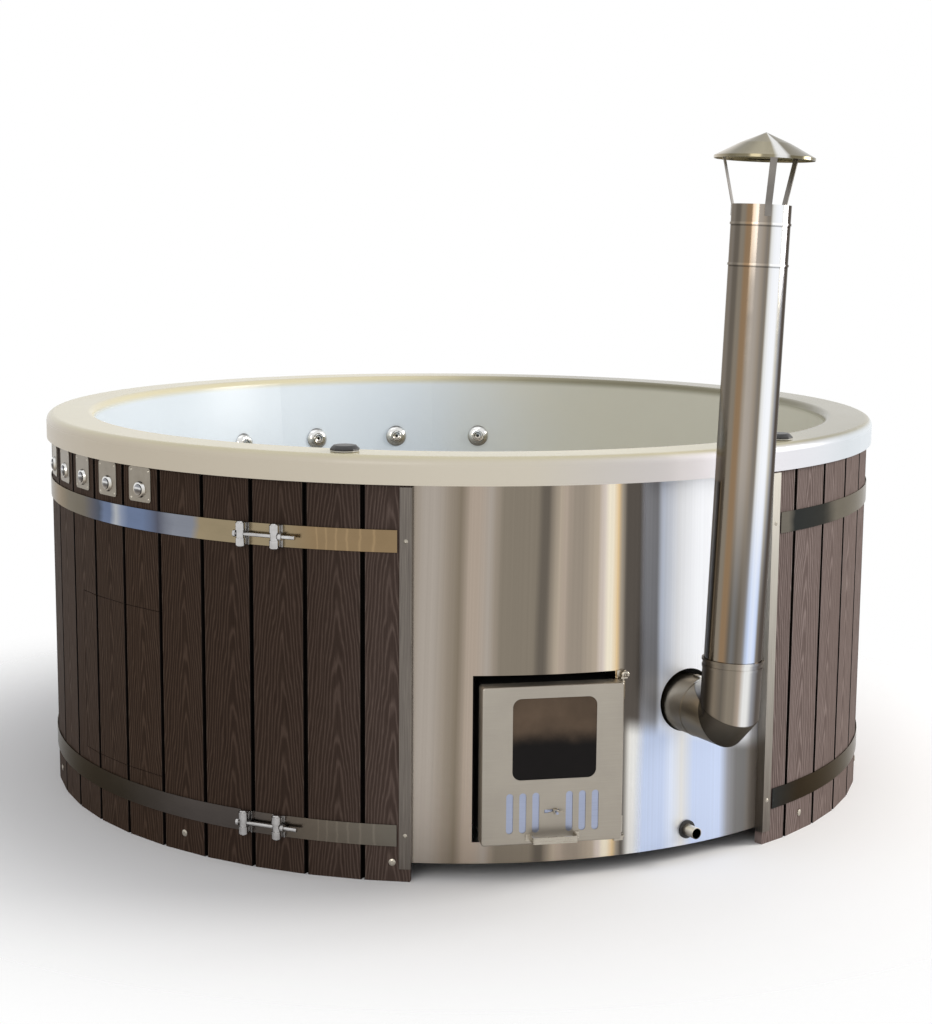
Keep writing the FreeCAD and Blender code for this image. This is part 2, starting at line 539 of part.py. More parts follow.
# Stove: plates welded to a box whose mouth reaches through the panel, on four feet
FIRE_FRONT = outward(size.door_azimuth)
LEFT_SIDE = ("-stove_left", "-stove_left + stove_wall")
RIGHT_SIDE = ("stove_right - stove_wall", "stove_right")
LOW_SIDE, HIGH_SIDE = ("stove_bottom", "stove_bottom + stove_wall"), ("stove_top - stove_wall", "stove_top")
BACK_SIDE, FRONT_SIDE = ("stove_back", "stove_back + stove_wall"), ("stove_front - stove_wall", "stove_front")
BETWEEN_SIDES = ("-stove_left + stove_wall", "stove_right - stove_wall")
BETWEEN_ENDS = ("stove_back + stove_wall", "stove_front - stove_wall")
MOUTH_DEPTH = ("stove_front - stove_wall", "mouth_front")
LOW_RIM, HIGH_RIM = ("mouth_low", "mouth_low + stove_wall"), ("mouth_high - stove_wall", "mouth_high")
FLUE_BORE = "flue_outer / 2 - flue_sheet"
FLUE_FRONT = outward(size.flue_azimuth)
flue_exit = placed(rod(f"{FLUE_BORE} + pin_fit", "stub_start - flue_outer", "stub_end", level="flue_level"),
                   FIRE_FRONT.inverse().multiply(FLUE_FRONT))
PIPE_ENDS = (("-circulation_spread", "circulation_low"),
             ("circulation_spread", "circulation_high"))
pipe_holes = [rod("circulation_diameter / 2 + pin_fit", "stove_back - stove_wall",
                  "stove_back + 2 * stove_wall", right, level) for right, level in PIPE_ENDS]
LEDGE_TOP = "grate_level - grate_bar / 2"
stove_plates = [
    cut(box("-stove_left", "stove_right", "stove_bottom", "stove_top", *BACK_SIDE), *pipe_holes),
    box(*LEFT_SIDE, "stove_bottom", "stove_top", *BETWEEN_ENDS),
    box(*RIGHT_SIDE, "stove_bottom", "stove_top", *BETWEEN_ENDS),
    box(*BETWEEN_SIDES, *LOW_SIDE, *BETWEEN_ENDS),
    box(*BETWEEN_SIDES, *HIGH_SIDE, *BETWEEN_ENDS),
    box("-stove_left", "-mouth_half", "stove_bottom", "stove_top", *FRONT_SIDE),
    cut(box("mouth_half", "stove_right", "stove_bottom", "stove_top", *FRONT_SIDE), flue_exit),
    box("-mouth_half", "mouth_half", "mouth_high", "stove_top", *FRONT_SIDE),
    box("-mouth_half", "mouth_half", "stove_bottom", "mouth_low", *FRONT_SIDE),
    box("-mouth_half", "mouth_half", *LOW_RIM, *MOUTH_DEPTH),
    box("-mouth_half", "mouth_half", *HIGH_RIM, *MOUTH_DEPTH),
    box("-mouth_half", "-mouth_half + stove_wall", LOW_RIM[1], HIGH_RIM[0], *MOUTH_DEPTH),
    box("mouth_half - stove_wall", "mouth_half", LOW_RIM[1], HIGH_RIM[0], *MOUTH_DEPTH)]
stove_plates += [box(left, f"{left} + foot_size", "0", "stove_bottom", back, f"{back} + foot_size")
                 for left in ("-stove_left", "stove_right - foot_size")
                 for back in ("stove_back", "stove_front - foot_inset - foot_size")]
stove_plates += [box(left, f"{left} + grate_ledge", LOW_SIDE[1], LEDGE_TOP, *BETWEEN_ENDS)
                 for left in ("-grate_half", "grate_half - grate_ledge")]
shape_node("stove_body", [copied(plate, FIRE_FRONT) for plate in stove_plates])

GRATE_BACK = "stove_back + 2 * stove_wall"
GRATE_FRONT = "stove_front - 2 * stove_wall"
GRATE_STEP = "(grate_bar + grate_gap)"
grate = box("-grate_half", "grate_half", LEDGE_TOP, "grate_level + grate_bar / 2", GRATE_BACK, GRATE_FRONT)
slot_total = int((2 * size.grate_half - size.grate_bar) // (size.grate_bar + size.grate_gap))
grate_slots = [box(f"({i} - {slot_total} / 2) * {GRATE_STEP} + grate_bar / 2",
                   f"({i} - {slot_total} / 2) * {GRATE_STEP} + grate_bar / 2 + grate_gap",
                   "grate_level - grate_bar", "grate_level + grate_bar", f"{GRATE_BACK} + grate_bar",
                   f"{GRATE_FRONT} - grate_bar") for i in range(slot_total)]
node("fire_grate", cut(grate, *grate_slots), FIRE_FRONT)

seal = cut(box("-mouth_half", "mouth_half", "mouth_low", "mouth_high", "mouth_front",
               "door_plane - door_sheet - fit_gap"),
           box("-mouth_half + seal_width", "mouth_half - seal_width", "mouth_low + seal_width",
               "mouth_high - seal_width", "mouth_front - 1", "door_plane"))
node("mouth_seal", seal, FIRE_FRONT)

# Circulation pipes between the stove and the foot-well, cut to the well's slope
well_wall = bind(doc.addObject("Part::Cone", "WellWall"), Radius1="well_radius + shell_wall + fit_gap",
                 Radius2="bench_radius + shell_wall + fit_gap", Height="bench_height - floor_height")
well_wall = placed(well_wall, FreeCAD.Placement(
    FreeCAD.Vector(0, 0, size.floor_height - size.shell_wall), FreeCAD.Rotation()))
pipes = [cut(placed(tube("circulation_diameter / 2", "circulation_diameter / 2 - circulation_wall",
                         "well_radius - circulation_diameter", "stove_back + stove_wall", right, level),
                    FIRE_FRONT), well_wall) for right, level in PIPE_ENDS]
shape_node("circulation_pipes", [copied(pipe, FreeCAD.Placement()) for pipe in pipes])

# Flue: stub from the stove, mitred elbow, leaning chimney
node("flue_stub", tube(f"{FLUE_BORE} - pin_fit", f"{FLUE_BORE} - pin_fit - 2 * flue_sheet", "stub_start",
                       "stub_end", level="flue_level"), FLUE_FRONT)
lean = FreeCAD.Placement(FreeCAD.Vector(0, size.flue_level, 0), FreeCAD.Rotation(UP, -size.flue_lean))
ELBOW = FLUE_FRONT.multiply(lean)
CHIMNEY = ELBOW.multiply(FreeCAD.Placement(
    FreeCAD.Vector(0, 0, size.flue_axis), FreeCAD.Rotation(RIGHT, -90)))


def mitred_pipe(radius, start, top):
    """A solid bar along the flue's bend: out of the panel, then up, with a slanted gore at the heel."""
    corners = [FreeCAD.Vector(0, 0, start), FreeCAD.Vector(0, 0, size.flue_axis),
               FreeCAD.Vector(0, top, size.flue_axis)]
    section = Part.Wire(Part.makeCircle(radius, corners[0], UP))
    right_corner = 1
    bend = Part.makePolygon(corners).makePipeShell([section], True, False, right_corner)
    reach = 2 * size.flue_outer
    gore = FreeCAD.Placement(FreeCAD.Vector(0, size.mitre_cut / 2, size.flue_axis - size.mitre_cut / 2),
                             FreeCAD.Rotation(RIGHT, 135))
    heel = Part.makeBox(2 * reach, reach, 2 * reach, FreeCAD.Vector(-reach, 0, -reach))
    heel = heel.cut(Part.makeCylinder(radius, 2 * reach, FreeCAD.Vector(0, 0, -reach), UP))
    heel.Placement = gore
    return bend.cut(heel)


flue_radius = size.flue_outer / 2
elbow = mitred_pipe(flue_radius, size.flue_start, size.socket_rise)
beads = []
for drop, stand in ((size.bead_height, size.bead_stand), (4 * size.bead_height, size.seam_stand)):
    beads.append(Part.makeCylinder(flue_radius + stand, size.bead_height, FreeCAD.Vector(
        0, size.socket_rise - drop, size.flue_axis), FreeCAD.Vector(0, 1, 0)))
beads.append(Part.makeCylinder(flue_radius + size.seam_stand / 2, size.bead_height,
                               FreeCAD.Vector(0, 0, size.panel_radius + size.lap_seam), UP))
clip = Part.makeBox(size.clip_width, size.clip_stand + size.flue_sheet, size.clip_length, FreeCAD.Vector(
    -size.clip_width / 2, flue_radius - size.flue_sheet, size.panel_radius + size.clip_reach))
elbow = elbow.multiFuse(beads + [clip])
elbow = elbow.cut(mitred_pipe(flue_radius - size.flue_sheet, size.flue_start - 1, size.socket_rise + 1))
shape_node("flue_elbow", [elbow], ELBOW)

CHIMNEY_FOOT = "socket_top - flue_level - chimney_tail"
CAP_SEAT = "upper_seam - flue_level"
chimney = fused(rod("chimney_outer / 2", CHIMNEY_FOOT, CAP_SEAT),
                rod("chimney_outer / 2 + seam_stand", "lower_seam - flue_level - bead_height",
                    "lower_seam - flue_level"))
chimney = cut(chimney, rod("chimney_outer / 2 - flue_sheet", f"{CHIMNEY_FOOT} - 1", f"{CAP_SEAT} + 1"))
node("chimney_pipe", chimney, CHIMNEY)

# Rain cap: a collar that plugs into the chimney, three flat legs and a shallow cone
SLEEVE = "chimney_outer / 2 - flue_sheet - cap_fit"
CAP_TOP = "chimney_top - flue_level"
collar = cut(fused(rod("chimney_outer / 2", f"{CAP_SEAT} + fit_gap", CAP_TOP),
                   rod("chimney_outer / 2 + seam_stand", f"{CAP_SEAT} + fit_gap",
                       f"{CAP_SEAT} + fit_gap + bead_height"),
                   rod(SLEEVE, f"{CAP_SEAT} - cap_sleeve", CAP_TOP)),
             rod(f"{SLEEVE} - flue_sheet", f"{CAP_SEAT} - cap_sleeve - 1", f"{CAP_TOP} + 1"))
node("cap_collar", collar, CHIMNEY)
LEG_IN = "chimney_outer / 2 + fit_gap"
BRIM = "brim_level - flue_level"
CREASE = "cone_rise / 2 + crease_lift"
LEG_HIGH = f"{BRIM} + ({CREASE}) * 2 * (leg_inset - leg_thick) / brim_radius - 1.8 * cone_sheet"
leg = padded_body("Leg", [
    (LEG_IN, f"{CAP_TOP} - leg_foot"), (f"{LEG_IN} + leg_thick", f"{CAP_TOP} - leg_foot"),
    (f"{LEG_IN} + leg_thick", CAP_TOP), ("leg_top_radius + leg_thick", LEG_HIGH),
    ("leg_top_radius", LEG_HIGH), (LEG_IN, CAP_TOP)], "-leg_width / 2", "leg_width / 2", "XZ_Plane")
leg_start = size.leg_azimuth - size.flue_azimuth - 90
shape_node("cap_legs", [copied(leg, CHIMNEY.multiply(turned(leg_start + 120 * i))) for i in range(3)])
roof = turned_body("Roof", [
    ("0", "cone_apex - flue_level"), ("brim_radius / 2", f"{BRIM} + {CREASE}"), ("brim_radius", BRIM),
    ("brim_radius", f"{BRIM} - brim_lip"), ("brim_radius - cone_sheet", f"{BRIM} - brim_lip"),
    ("brim_radius - cone_sheet", f"{BRIM} - cone_sheet"),
    ("brim_radius / 2", f"{BRIM} + {CREASE} - 1.3 * cone_sheet"),
    ("0", "cone_apex - flue_level - 1.3 * cone_sheet")])
node("cap_cone", roof, CHIMNEY)

# Drain: outlet cup under the foot-well, pipe below the stove and the rubber grommet in the panel
sump = cut(rod("sump_outer / 2", "sump_bottom", UNDER_FLOOR),
           rod("sump_outer / 2 - sump_wall", "sump_bottom + sump_wall", "floor_height"))
DRAIN_RUN = "drain_outer / 2 - drain_step"
pipe_socket = placed(rod(f"{DRAIN_RUN} + pin_fit", "drain_radius", "drain_radius + sump_outer",
                         level="drain_level"), DRAIN_FRONT)
node("drain_sump", cut(placed(sump, DRAIN_DOWN), pipe_socket))
DRAIN_START = "drain_radius + sump_outer / 2 - sump_wall"
SPIGOT = ("panel_radius + grommet_lip", "panel_radius + drain_reach")
drain_pipe = cut(fused(rod(DRAIN_RUN, DRAIN_START, SPIGOT[0], level="drain_level"),
                       rod("drain_outer / 2", *SPIGOT, level="drain_level")),
                 rod("drain_bore / 2", f"{DRAIN_START} - 1", f"{SPIGOT[1]} + 1", level="drain_level"))
node("drain_pipe", drain_pipe, DRAIN_FRONT)
NECK = "grommet_outer / 2 - grommet_lip - fit_gap"
grommet = cut(fused(rod("grommet_outer / 2", "panel_radius + fit_gap", "panel_radius + grommet_lip",
                        level="drain_level"),
                    rod(NECK, "panel_radius - grommet_lip", "panel_radius + grommet_lip",
                        level="drain_level")),
              rod(f"{DRAIN_RUN} + pin_fit", "panel_radius - 2 * grommet_lip",
                  "panel_radius + 2 * grommet_lip", level="drain_level"))
node("drain_grommet", grommet, DRAIN_FRONT)

# Fire door: a folded tray with a window, air slots and a slot for the slide's stud
DOOR_INSIDE = "door_plane - door_sheet"
DOOR_BACK = "door_plane - door_depth"
DOOR_HIGH = "door_low + door_height"
tray = padded_body("Tray", rectangle("-door_width / 2", "door_width / 2", "door_low", DOOR_HIGH),
                   DOOR_BACK, "door_plane")
round_edges(tray, "door_round", along_depth)
round_edges(tray, "door_bend", on_level(size.door_plane))
tray_hollow = padded_body("TrayHollow", rectangle(
    "-door_width / 2 + door_sheet", "door_width / 2 - door_sheet", "door_low + door_sheet",
    f"{DOOR_HIGH} - door_sheet"), f"{DOOR_BACK} - 1", DOOR_INSIDE)
round_edges(tray_hollow, "door_round - door_sheet", along_depth)
round_edges(tray_hollow, "door_bend - door_sheet", on_level(size.door_plane - size.door_sheet))


def window_body(name, lap, back, front):
    """A rounded block as large as the window and a lap all round."""
    body = padded_body(name, rectangle(
        f"window_shift - window_width / 2 - {lap}", f"window_shift + window_width / 2 + {lap}",
        f"window_middle - window_height / 2 - {lap}", f"window_middle + window_height / 2 + {lap}"),
        back, front)
    return round_edges(body, "window_round", along_depth)


def tall_slot(right, width):
    """A round-ended upright slot through the door's sheet or the slide."""
    half = f"(slot_length - {width}) / 2"
    back, front = f"{DOOR_INSIDE} - 2 * slide_thick", "door_plane + door_sheet"
    return fused(
        box(f"{right} - {width} / 2", f"{right} + {width} / 2", f"slot_middle - {half}",
            f"slot_middle + {half}", back, front),
        rod(f"{width} / 2", back, front, right, f"slot_middle - {half}"),
        rod(f"{width} / 2", back, front, right, f"slot_middle + {half}"))


slots_per_side = 1 + int((size.slide_half - size.slot_margin - size.slot_inner) // size.slot_pitch)
SLOT_PLACES = [f"{side} * (slot_inner + {i} * slot_pitch)" for side in (-1, 1)
               for i in range(slots_per_side)]
window_hole = window_body("WindowHole", "0", f"{DOOR_INSIDE} - 1", "door_plane + 1")
stud_slot = box("stud_slot_right - stud_slot / 2", "stud_slot_right + stud_slot / 2",
                "stud_level - stud_slot_height / 2", "stud_level + stud_slot_height / 2",
                f"{DOOR_INSIDE} - 1", "door_plane + 1")
door_panel = cut(tray, tray_hollow, window_hole, stud_slot,
                 *[tall_slot(place, "slot_width") for place in SLOT_PLACES])
node("door_panel", door_panel, FIRE_FRONT)

GLASS_BACK = f"{DOOR_INSIDE} - glass_thick"
node("door_glass", window_body("Glass", "glass_lap", GLASS_BACK, DOOR_INSIDE), FIRE_FRONT)
retainer = cut(window_body("RetainerPlate", "glass_lap", f"{GLASS_BACK} - retainer_thick", GLASS_BACK),
               window_body("RetainerHole", "0", f"{GLASS_BACK} - glass_thick", DOOR_INSIDE))
node("glass_retainer", retainer, FIRE_FRONT)

# Air slide with its stud, in two folded guides behind the door's sheet
SLIDE_FRONT = f"{DOOR_INSIDE} - fit_gap"
SLIDE_BACK = f"{SLIDE_FRONT} - slide_thick"
slide = cut(box("-slide_half", "slide_half", "slide_low", "slide_high", SLIDE_BACK, SLIDE_FRONT),
            *[tall_slot(f"({place} + slide_offset)", "slide_slot") for place in SLOT_PLACES])
stud = rod("stud_diameter / 2", f"{SLIDE_FRONT} - slide_thick / 2", "door_plane + stud_reach", "stud_right",
           "stud_level")
node("air_slide", fused(slide, stud), FIRE_FRONT)
GUIDE_BACK = f"{SLIDE_BACK} - fit_gap"
guides = []
for edge, side in (("slide_low", -1), ("slide_high", 1)):
    far, near, lap = (f"{edge} + {side} * {reach}" for reach in ("guide_edge", "fit_gap", "(-guide_lap)"))
    spacer = (far, near) if side < 0 else (near, far)
    lip = (far, lap) if side < 0 else (lap, far)
    guides.append(fused(
        box("-guide_half", "guide_half", *spacer, GUIDE_BACK, DOOR_INSIDE),
        box("-guide_half", "guide_half", *lip, f"{GUIDE_BACK} - guide_lip", GUIDE_BACK)))
shape_node("slide_guides", [copied(guide, FIRE_FRONT) for guide in guides])
WING_BACK = "door_plane + fit_gap"
wing_nut = cut(fused(rod("hub_outer / 2", WING_BACK, f"{WING_BACK} + wing_height", "stud_right",
                         "stud_level"),
                     box("stud_right - wing_span / 2", "stud_right + wing_span / 2",
                         "stud_level - wing_thick / 2", "stud_level + wing_thick / 2",
                         f"{WING_BACK} + wing_height / 3", f"{WING_BACK} + 1.4 * wing_height")),
               rod("stud_diameter / 2 + pin_fit", "door_plane - 1", "door_plane + 2 * stud_reach",
                   "stud_right", "stud_level"))
node("wing_nut", wing_nut, FIRE_FRONT)


def upright_at(depth):
    """A test for an upright edge at that depth along local Z."""
    def wanted(edge):
        ends = [vertex.Point for vertex in edge.Vertexes]
        return len(ends) == 2 and all(abs(end.z - depth) < 1e-6 for end in ends) \
            and abs(ends[0].x - ends[1].x) < 1e-6
    return wanted


# Door handle: a flat strip bent into a wide U with two feet
FOOT = "door_plane + handle_strip"
STAND = "door_plane + handle_stand"
handle = padded_body("Handle", [
    ("-handle_feet", "door_plane"), ("-handle_feet", FOOT), ("-handle_bar", FOOT), ("-handle_bar", STAND),
    ("handle_bar", STAND), ("handle_bar", FOOT), ("handle_feet", FOOT), ("handle_feet", "door_plane"),
    ("handle_bar - handle_strip", "door_plane"), ("handle_bar - handle_strip", f"{STAND} - handle_strip"),
    ("-handle_bar + handle_strip", f"{STAND} - handle_strip"), ("-handle_bar + handle_strip", "door_plane")],
    "-handle_middle - handle_tall / 2", "-handle_middle + handle_tall / 2", "XZ_Plane")
handle_face = size.door_plane + size.handle_stand
for depth, radius in ((handle_face, "handle_round"),
                      (handle_face - size.handle_strip, "handle_round - handle_strip")):
    round_edges(handle, radius, upright_at(depth))
node("door_handle", handle, FIRE_FRONT)

# Hinge: knuckles on the door's side, a bent rod and two brackets on the panel
KNUCKLE = "pin_diameter / 2 + pin_fit + knuckle_wall"
KNUCKLES = (("door_low + door_round", "door_low + door_round + knuckle_length"),
            (f"{DOOR_HIGH} - door_round - knuckle_length", f"{DOOR_HIGH} - door_round"))
knuckles = [cut(fused(upright_rod(KNUCKLE, low, high, "pin_right", "pin_plane"),
                      box("door_width / 2", "pin_right", low, high, "pin_plane - knuckle_wall",
                          "pin_plane + knuckle_wall")),
                upright_rod("pin_diameter / 2 + pin_fit", f"{low} - 1", f"{high} + 1", "pin_right",
                            "pin_plane")) for low, high in KNUCKLES]
shape_node("door_knuckles", [copied(knuckle, FIRE_FRONT) for knuckle in knuckles])


def hinge_rod():
    """The hinge rod's path swept with its section: straight, then bent outwards and down at the top."""
    bend = size.hook_bend
    right, low, top, plane = size.pin_right, size.pin_low, size.pin_high, size.pin_plane
    out = right + size.hook_out
    slant = bend * (1 - math.sqrt(0.5))
    foot, bend_1, top_1, mid_1, top_2, mid_2, bend_2, tip = (FreeCAD.Vector(x, y, plane) for x, y in (
        (right, low), (right, top - bend), (right + bend, top), (right + slant, top - slant),
        (out - bend, top), (out - slant, top - slant), (out, top - bend), (out, top - size.hook_drop)))
    edges = [Part.LineSegment(foot, bend_1), Part.Arc(bend_1, mid_1, top_1), Part.LineSegment(top_1, top_2),
             Part.Arc(top_2, mid_2, bend_2), Part.LineSegment(bend_2, tip)]
    path = Part.Wire([edge.toShape() for edge in edges])
    section = Part.Wire(Part.makeCircle(size.pin_diameter / 2, foot, FreeCAD.Vector(0, 1, 0)))
    return path.makePipeShell([section], True, False)


shape_node("hinge_rod", [hinge_rod()], FIRE_FRONT)
pin_turn = math.degrees(math.atan2(size.pin_right, size.pin_plane))
PIN_REACH = "sqrt(pin_right * pin_right + pin_plane * pin_plane)"
brackets = []
for edge, side in (("door_low", -1), (DOOR_HIGH, 1)):
    near, far, foot_end = (f"{edge} + {side} * ({reach})" for reach in (
        "bracket_gap", "bracket_gap + bracket_thick", "bracket_gap + bracket_foot"))
    ear = (far, near) if side < 0 else (near, far)
    foot = (foot_end, near) if side < 0 else (near, foot_end)
    bracket = cut(fused(box("-bracket_half", "bracket_half", *ear, "panel_radius + fit_gap",
                            f"{PIN_REACH} + bracket_half"),
                        box("-1.4 * bracket_half", "1.4 * bracket_half", *foot, "panel_radius + fit_gap",
                            "panel_radius + fit_gap + bracket_thick")),
                  upright_rod("pin_diameter / 2 + pin_fit", f"{ear[0]} - 1", f"{ear[1]} + 1", "0", PIN_REACH))
    brackets.append(copied(bracket, outward(size.door_azimuth + pin_turn)))
shape_node("hinge_brackets", brackets)

# Control plates below the rim: one push button each, in a barrel through its board
PLATE_BACK = "board_face + fit_gap"
PLATE_FRONT = f"{PLATE_BACK} + plate_thick"
BEZEL_FRONT = f"{PLATE_FRONT} + bezel_stand"
BARREL_HOLE = "barrel_outer / 2 + fit_gap"
plate = padded_body("Plate", rectangle("-plate_width / 2", "plate_width / 2", "plate_low", "plate_high"),
                    PLATE_BACK, PLATE_FRONT)
round_edges(plate, "plate_round", along_depth)
plate = cut(plate, rod(BARREL_HOLE, PLATE_BACK, PLATE_FRONT, level="button_level"))
plate_screw = fused(*[cone("plate_screw / 2", "plate_screw / 4", PLATE_FRONT,
                           f"{PLATE_FRONT} + screw_drop / 2",
                           f"{side} * (plate_width / 2 - plate_inset)", level)
                      for side in (-1, 1)
                      for level in ("plate_low + plate_inset", "plate_high - plate_inset")])
BUTTON_FRONT = f"{BEZEL_FRONT} + button_stand"
BUTTON_BACK = f"{BUTTON_FRONT} - button_length"
housing = cut(fused(rod("barrel_outer / 2", "board_face - barrel_depth", PLATE_FRONT, level="button_level"),
                    cone("bezel_outer / 2", "bezel_outer / 2 - bezel_stand / 2", PLATE_FRONT, BEZEL_FRONT,
                         level="button_level")),
              rod("button_diameter / 2 + button_fit", f"{BUTTON_BACK} - button_travel - fit_gap",
                  f"{BEZEL_FRONT} + 1", level="button_level"))
button = fused(rod("button_diameter / 2", BUTTON_BACK, f"{BUTTON_FRONT} - button_stand / 2",
                   level="button_level"),
               cone("button_diameter / 2", "button_diameter / 2 - button_stand / 2",
                    f"{BUTTON_FRONT} - button_stand / 2", BUTTON_FRONT, level="button_level"))
plate_fronts = [outward(board_azimuth(size.plate_board + i)) for i in range(int(size.plate_count))]
shape_node("control_plates", [copied(plate, front) for front in plate_fronts])
shape_node("plate_screws", [solid for front in plate_fronts for solid in copied(plate_screw, front).Solids])
shape_node("button_housings", [copied(housing, front) for front in plate_fronts])
for number, front in enumerate(plate_fronts, start=1):
    shape_node(f"push_button_{number}", [copied(button, front)])
doc.recompute()
barrel_holes = [copied(rod(BARREL_HOLE, f"{INNER_FACE} - 1", PLATE_BACK, level="button_level"), front)
                for front in plate_fronts]
drilled_boards = [piece for whole in fixed_boards for piece in whole.cut(barrel_holes).Solids]
shape_node("cladding_boards", drilled_boards)

# Massage jets on the sloping wall opposite the stove
wall_slope = math.degrees(math.atan2(size.basin_radius - size.seat_radius, size.rim_top - size.bench_height))
jet_depth = size.water_radius - size.water_pipe / 2 - size.jet_radius - 2 * size.fit_gap


def inward(azimuth):
    """Place something that is drawn on the basin wall at the jets' level, Z pointing into the water."""
    on_wall = FreeCAD.Placement(FreeCAD.Vector(0, size.jet_level, size.jet_radius),
                                FreeCAD.Rotation(FreeCAD.Vector(0, 1, 0), 180))
    tilt = FreeCAD.Placement(FreeCAD.Vector(), FreeCAD.Rotation(RIGHT, -wall_slope))
    return outward(azimuth).multiply(on_wall).multiply(tilt)


NOZZLE_HOLE = "nozzle_diameter / 2 + nozzle_fit"
jet_bezel = cut(fused(cone("jet_outer / 2", "jet_outer / 2 - jet_dome / 3", "jet_lift", "jet_dome / 2"),
                      cone("jet_outer / 2 - jet_dome / 3", "nozzle_diameter / 2 + jet_dome / 3",
                           "jet_dome / 2", "jet_dome")),
                rod(NOZZLE_HOLE, "-1", "jet_dome + 1"))
nozzle = cut(fused(rod("nozzle_diameter / 2", "jet_lift", "jet_dome"),
                   cone("nozzle_diameter / 2", "nozzle_bore", "jet_dome", "jet_dome + nozzle_stand")),
             rod("nozzle_bore / 2", "0", "jet_dome + nozzle_stand + 1", "nozzle_bore / 3"))
jet_tail = Part.makeCylinder(size.jet_body / 2, jet_depth, FreeCAD.Vector(0, 0, -jet_depth))
wall_depth = size.shell_wall * (math.cos(math.radians(wall_slope)) + math.sin(math.radians(wall_slope)))
jet_nut = Part.makeCylinder(size.jet_outer / 2, size.jet_nut,
                            FreeCAD.Vector(0, 0, -wall_depth - size.jet_nut - size.fit_gap))
jet_body = jet_tail.fuse(jet_nut).cut(Part.makeCylinder(
    size.nozzle_bore / 2, jet_depth / 2, FreeCAD.Vector(0, 0, -jet_depth / 2)))
first_jet = size.jet_middle - (size.jet_count - 1) / 2 * size.jet_pitch
jet_azimuths = [first_jet + i * size.jet_pitch for i in range(int(size.jet_count))]
shape_node("jet_bezels", [copied(jet_bezel, inward(azimuth)) for azimuth in jet_azimuths])
for number, azimuth in enumerate(jet_azimuths, start=1):
    shape_node(f"jet_nozzle_{number}", [copied(nozzle, inward(azimuth))])
jet_bodies = []
for azimuth in jet_azimuths:
    body = jet_body.copy()
    body.Placement = inward(azimuth)
    jet_bodies.append(body)
shape_node("jet_bodies", jet_bodies)

# Water ring from the pump to the jets and air ring from the rim valves to the jets
water_level = size.jet_level - jet_depth * math.sin(math.radians(wall_slope))
ring_start = jet_azimuths[0] - size.jet_pitch / 4
ring_end = size.pump_azimuth + 360
water_ring = bind(doc.addObject("Part::Torus", "WaterRing"), Radius1="water_radius", Radius2="water_pipe / 2")
water_ring.Angle3 = ring_end - ring_start
node("water_manifold", water_ring, turned(ring_start - 90, water_level))
air_ring = bind(doc.addObject("Part::Torus", "AirRing"), Radius1="air_radius", Radius2="air_pipe / 2",
                Angle3="360 + left_knob - right_knob")
stub_in = size.air_radius - size.stub_radius - size.air_stub / 2
stub_top = size.air_level - math.sqrt((size.air_pipe / 2) ** 2 - stub_in ** 2) - size.fit_gap
air_stubs = []
for azimuth in jet_azimuths:
    foot = turned(azimuth).multVec(FreeCAD.Vector(0, -size.stub_radius, size.jet_level))
    stub = Part.makeCylinder(size.air_stub / 2, stub_top - size.jet_level, foot)
    air_stubs.append(stub.cut(jet_bodies))
shape_node("air_stubs", air_stubs)
node("air_manifold", air_ring, turned(size.right_knob - 90, size.air_level))

# Air valves under the rim, each turned by a lobed knob
knob_places = {}
for label, azimuth in (("left", size.left_knob), ("right", size.right_knob)):
    at = turned(azimuth).multVec(FreeCAD.Vector(0, -size.knob_radius, 0))
    knob_places[label] = FreeCAD.Placement(at, FreeCAD.Rotation(UP, azimuth))
UNDER_RIM = "rim_top - shell_wall - fit_gap"
STEM_HOLE = "knob_stem / 2 + fit_gap"
valve = cut(fused(rod("valve_outer / 2", "valve_bottom", UNDER_RIM),
                  rod("valve_outer / 2 + 2 * valve_flange", f"{UNDER_RIM} - valve_flange", UNDER_RIM)),
            rod(STEM_HOLE, "rim_top - shell_wall - stem_depth", "rim_top"))
KNOB_LOW = "rim_top + fit_gap"
LOBE_RING = "(knob_outer / 2 - lobe_diameter / 2)"
lobes = [rod("lobe_diameter / 2", KNOB_LOW, f"{KNOB_LOW} + knob_height * 0.8",
             f"{LOBE_RING} * cos({i} * 360 / knob_lobes)", f"{LOBE_RING} * sin({i} * 360 / knob_lobes)")
         for i in range(int(size.knob_lobes))]
knob = fused(rod(LOBE_RING, KNOB_LOW, f"{KNOB_LOW} + knob_height * 0.8"), *lobes,
             cone(LOBE_RING, f"{LOBE_RING} - knob_height / 4", f"{KNOB_LOW} + knob_height * 0.8",
                  f"{KNOB_LOW} + knob_height"),
             rod("knob_stem / 2", "rim_top - stem_depth", KNOB_LOW))
shape_node("air_valves", [copied(valve, place) for place in knob_places.values()])
for label, place in knob_places.items():
    shape_node(f"air_knob_{label}", [copied(knob, place)])

# Pump under the bench behind the hatch, its suction to the foot-well and its riser to the water ring
PUMP_FRONT = outward(size.pump_azimuth)
ACROSS = FreeCAD.Placement(FreeCAD.Vector(0, size.pump_level, size.pump_radius),
                           FreeCAD.Rotation(FreeCAD.Vector(0, 1, 0), 90))
motor = fused(rod("wet_end_outer / 2", "-wet_end_length", "0"), rod("motor_outer / 2", "0", "motor_length"))
saddle = box("motor_length / 4", "motor_length * 3 / 4", "0", "pump_level",
             "pump_radius - motor_outer * 0.4", "pump_radius + motor_outer * 0.4")
node("pump", fused(placed(motor, ACROSS), saddle), PUMP_FRONT)
suction = cut(placed(tube("pump_port / 2", "pump_port / 2 - circulation_wall", "well_radius - pump_port",
                          "pump_radius", "-wet_end_length / 2", "suction_level"), PUMP_FRONT),
              well_wall, placed(placed(rod("wet_end_outer / 2 + fit_gap", "-wet_end_length * 2",
                                           "motor_length"), ACROSS), PUMP_FRONT))


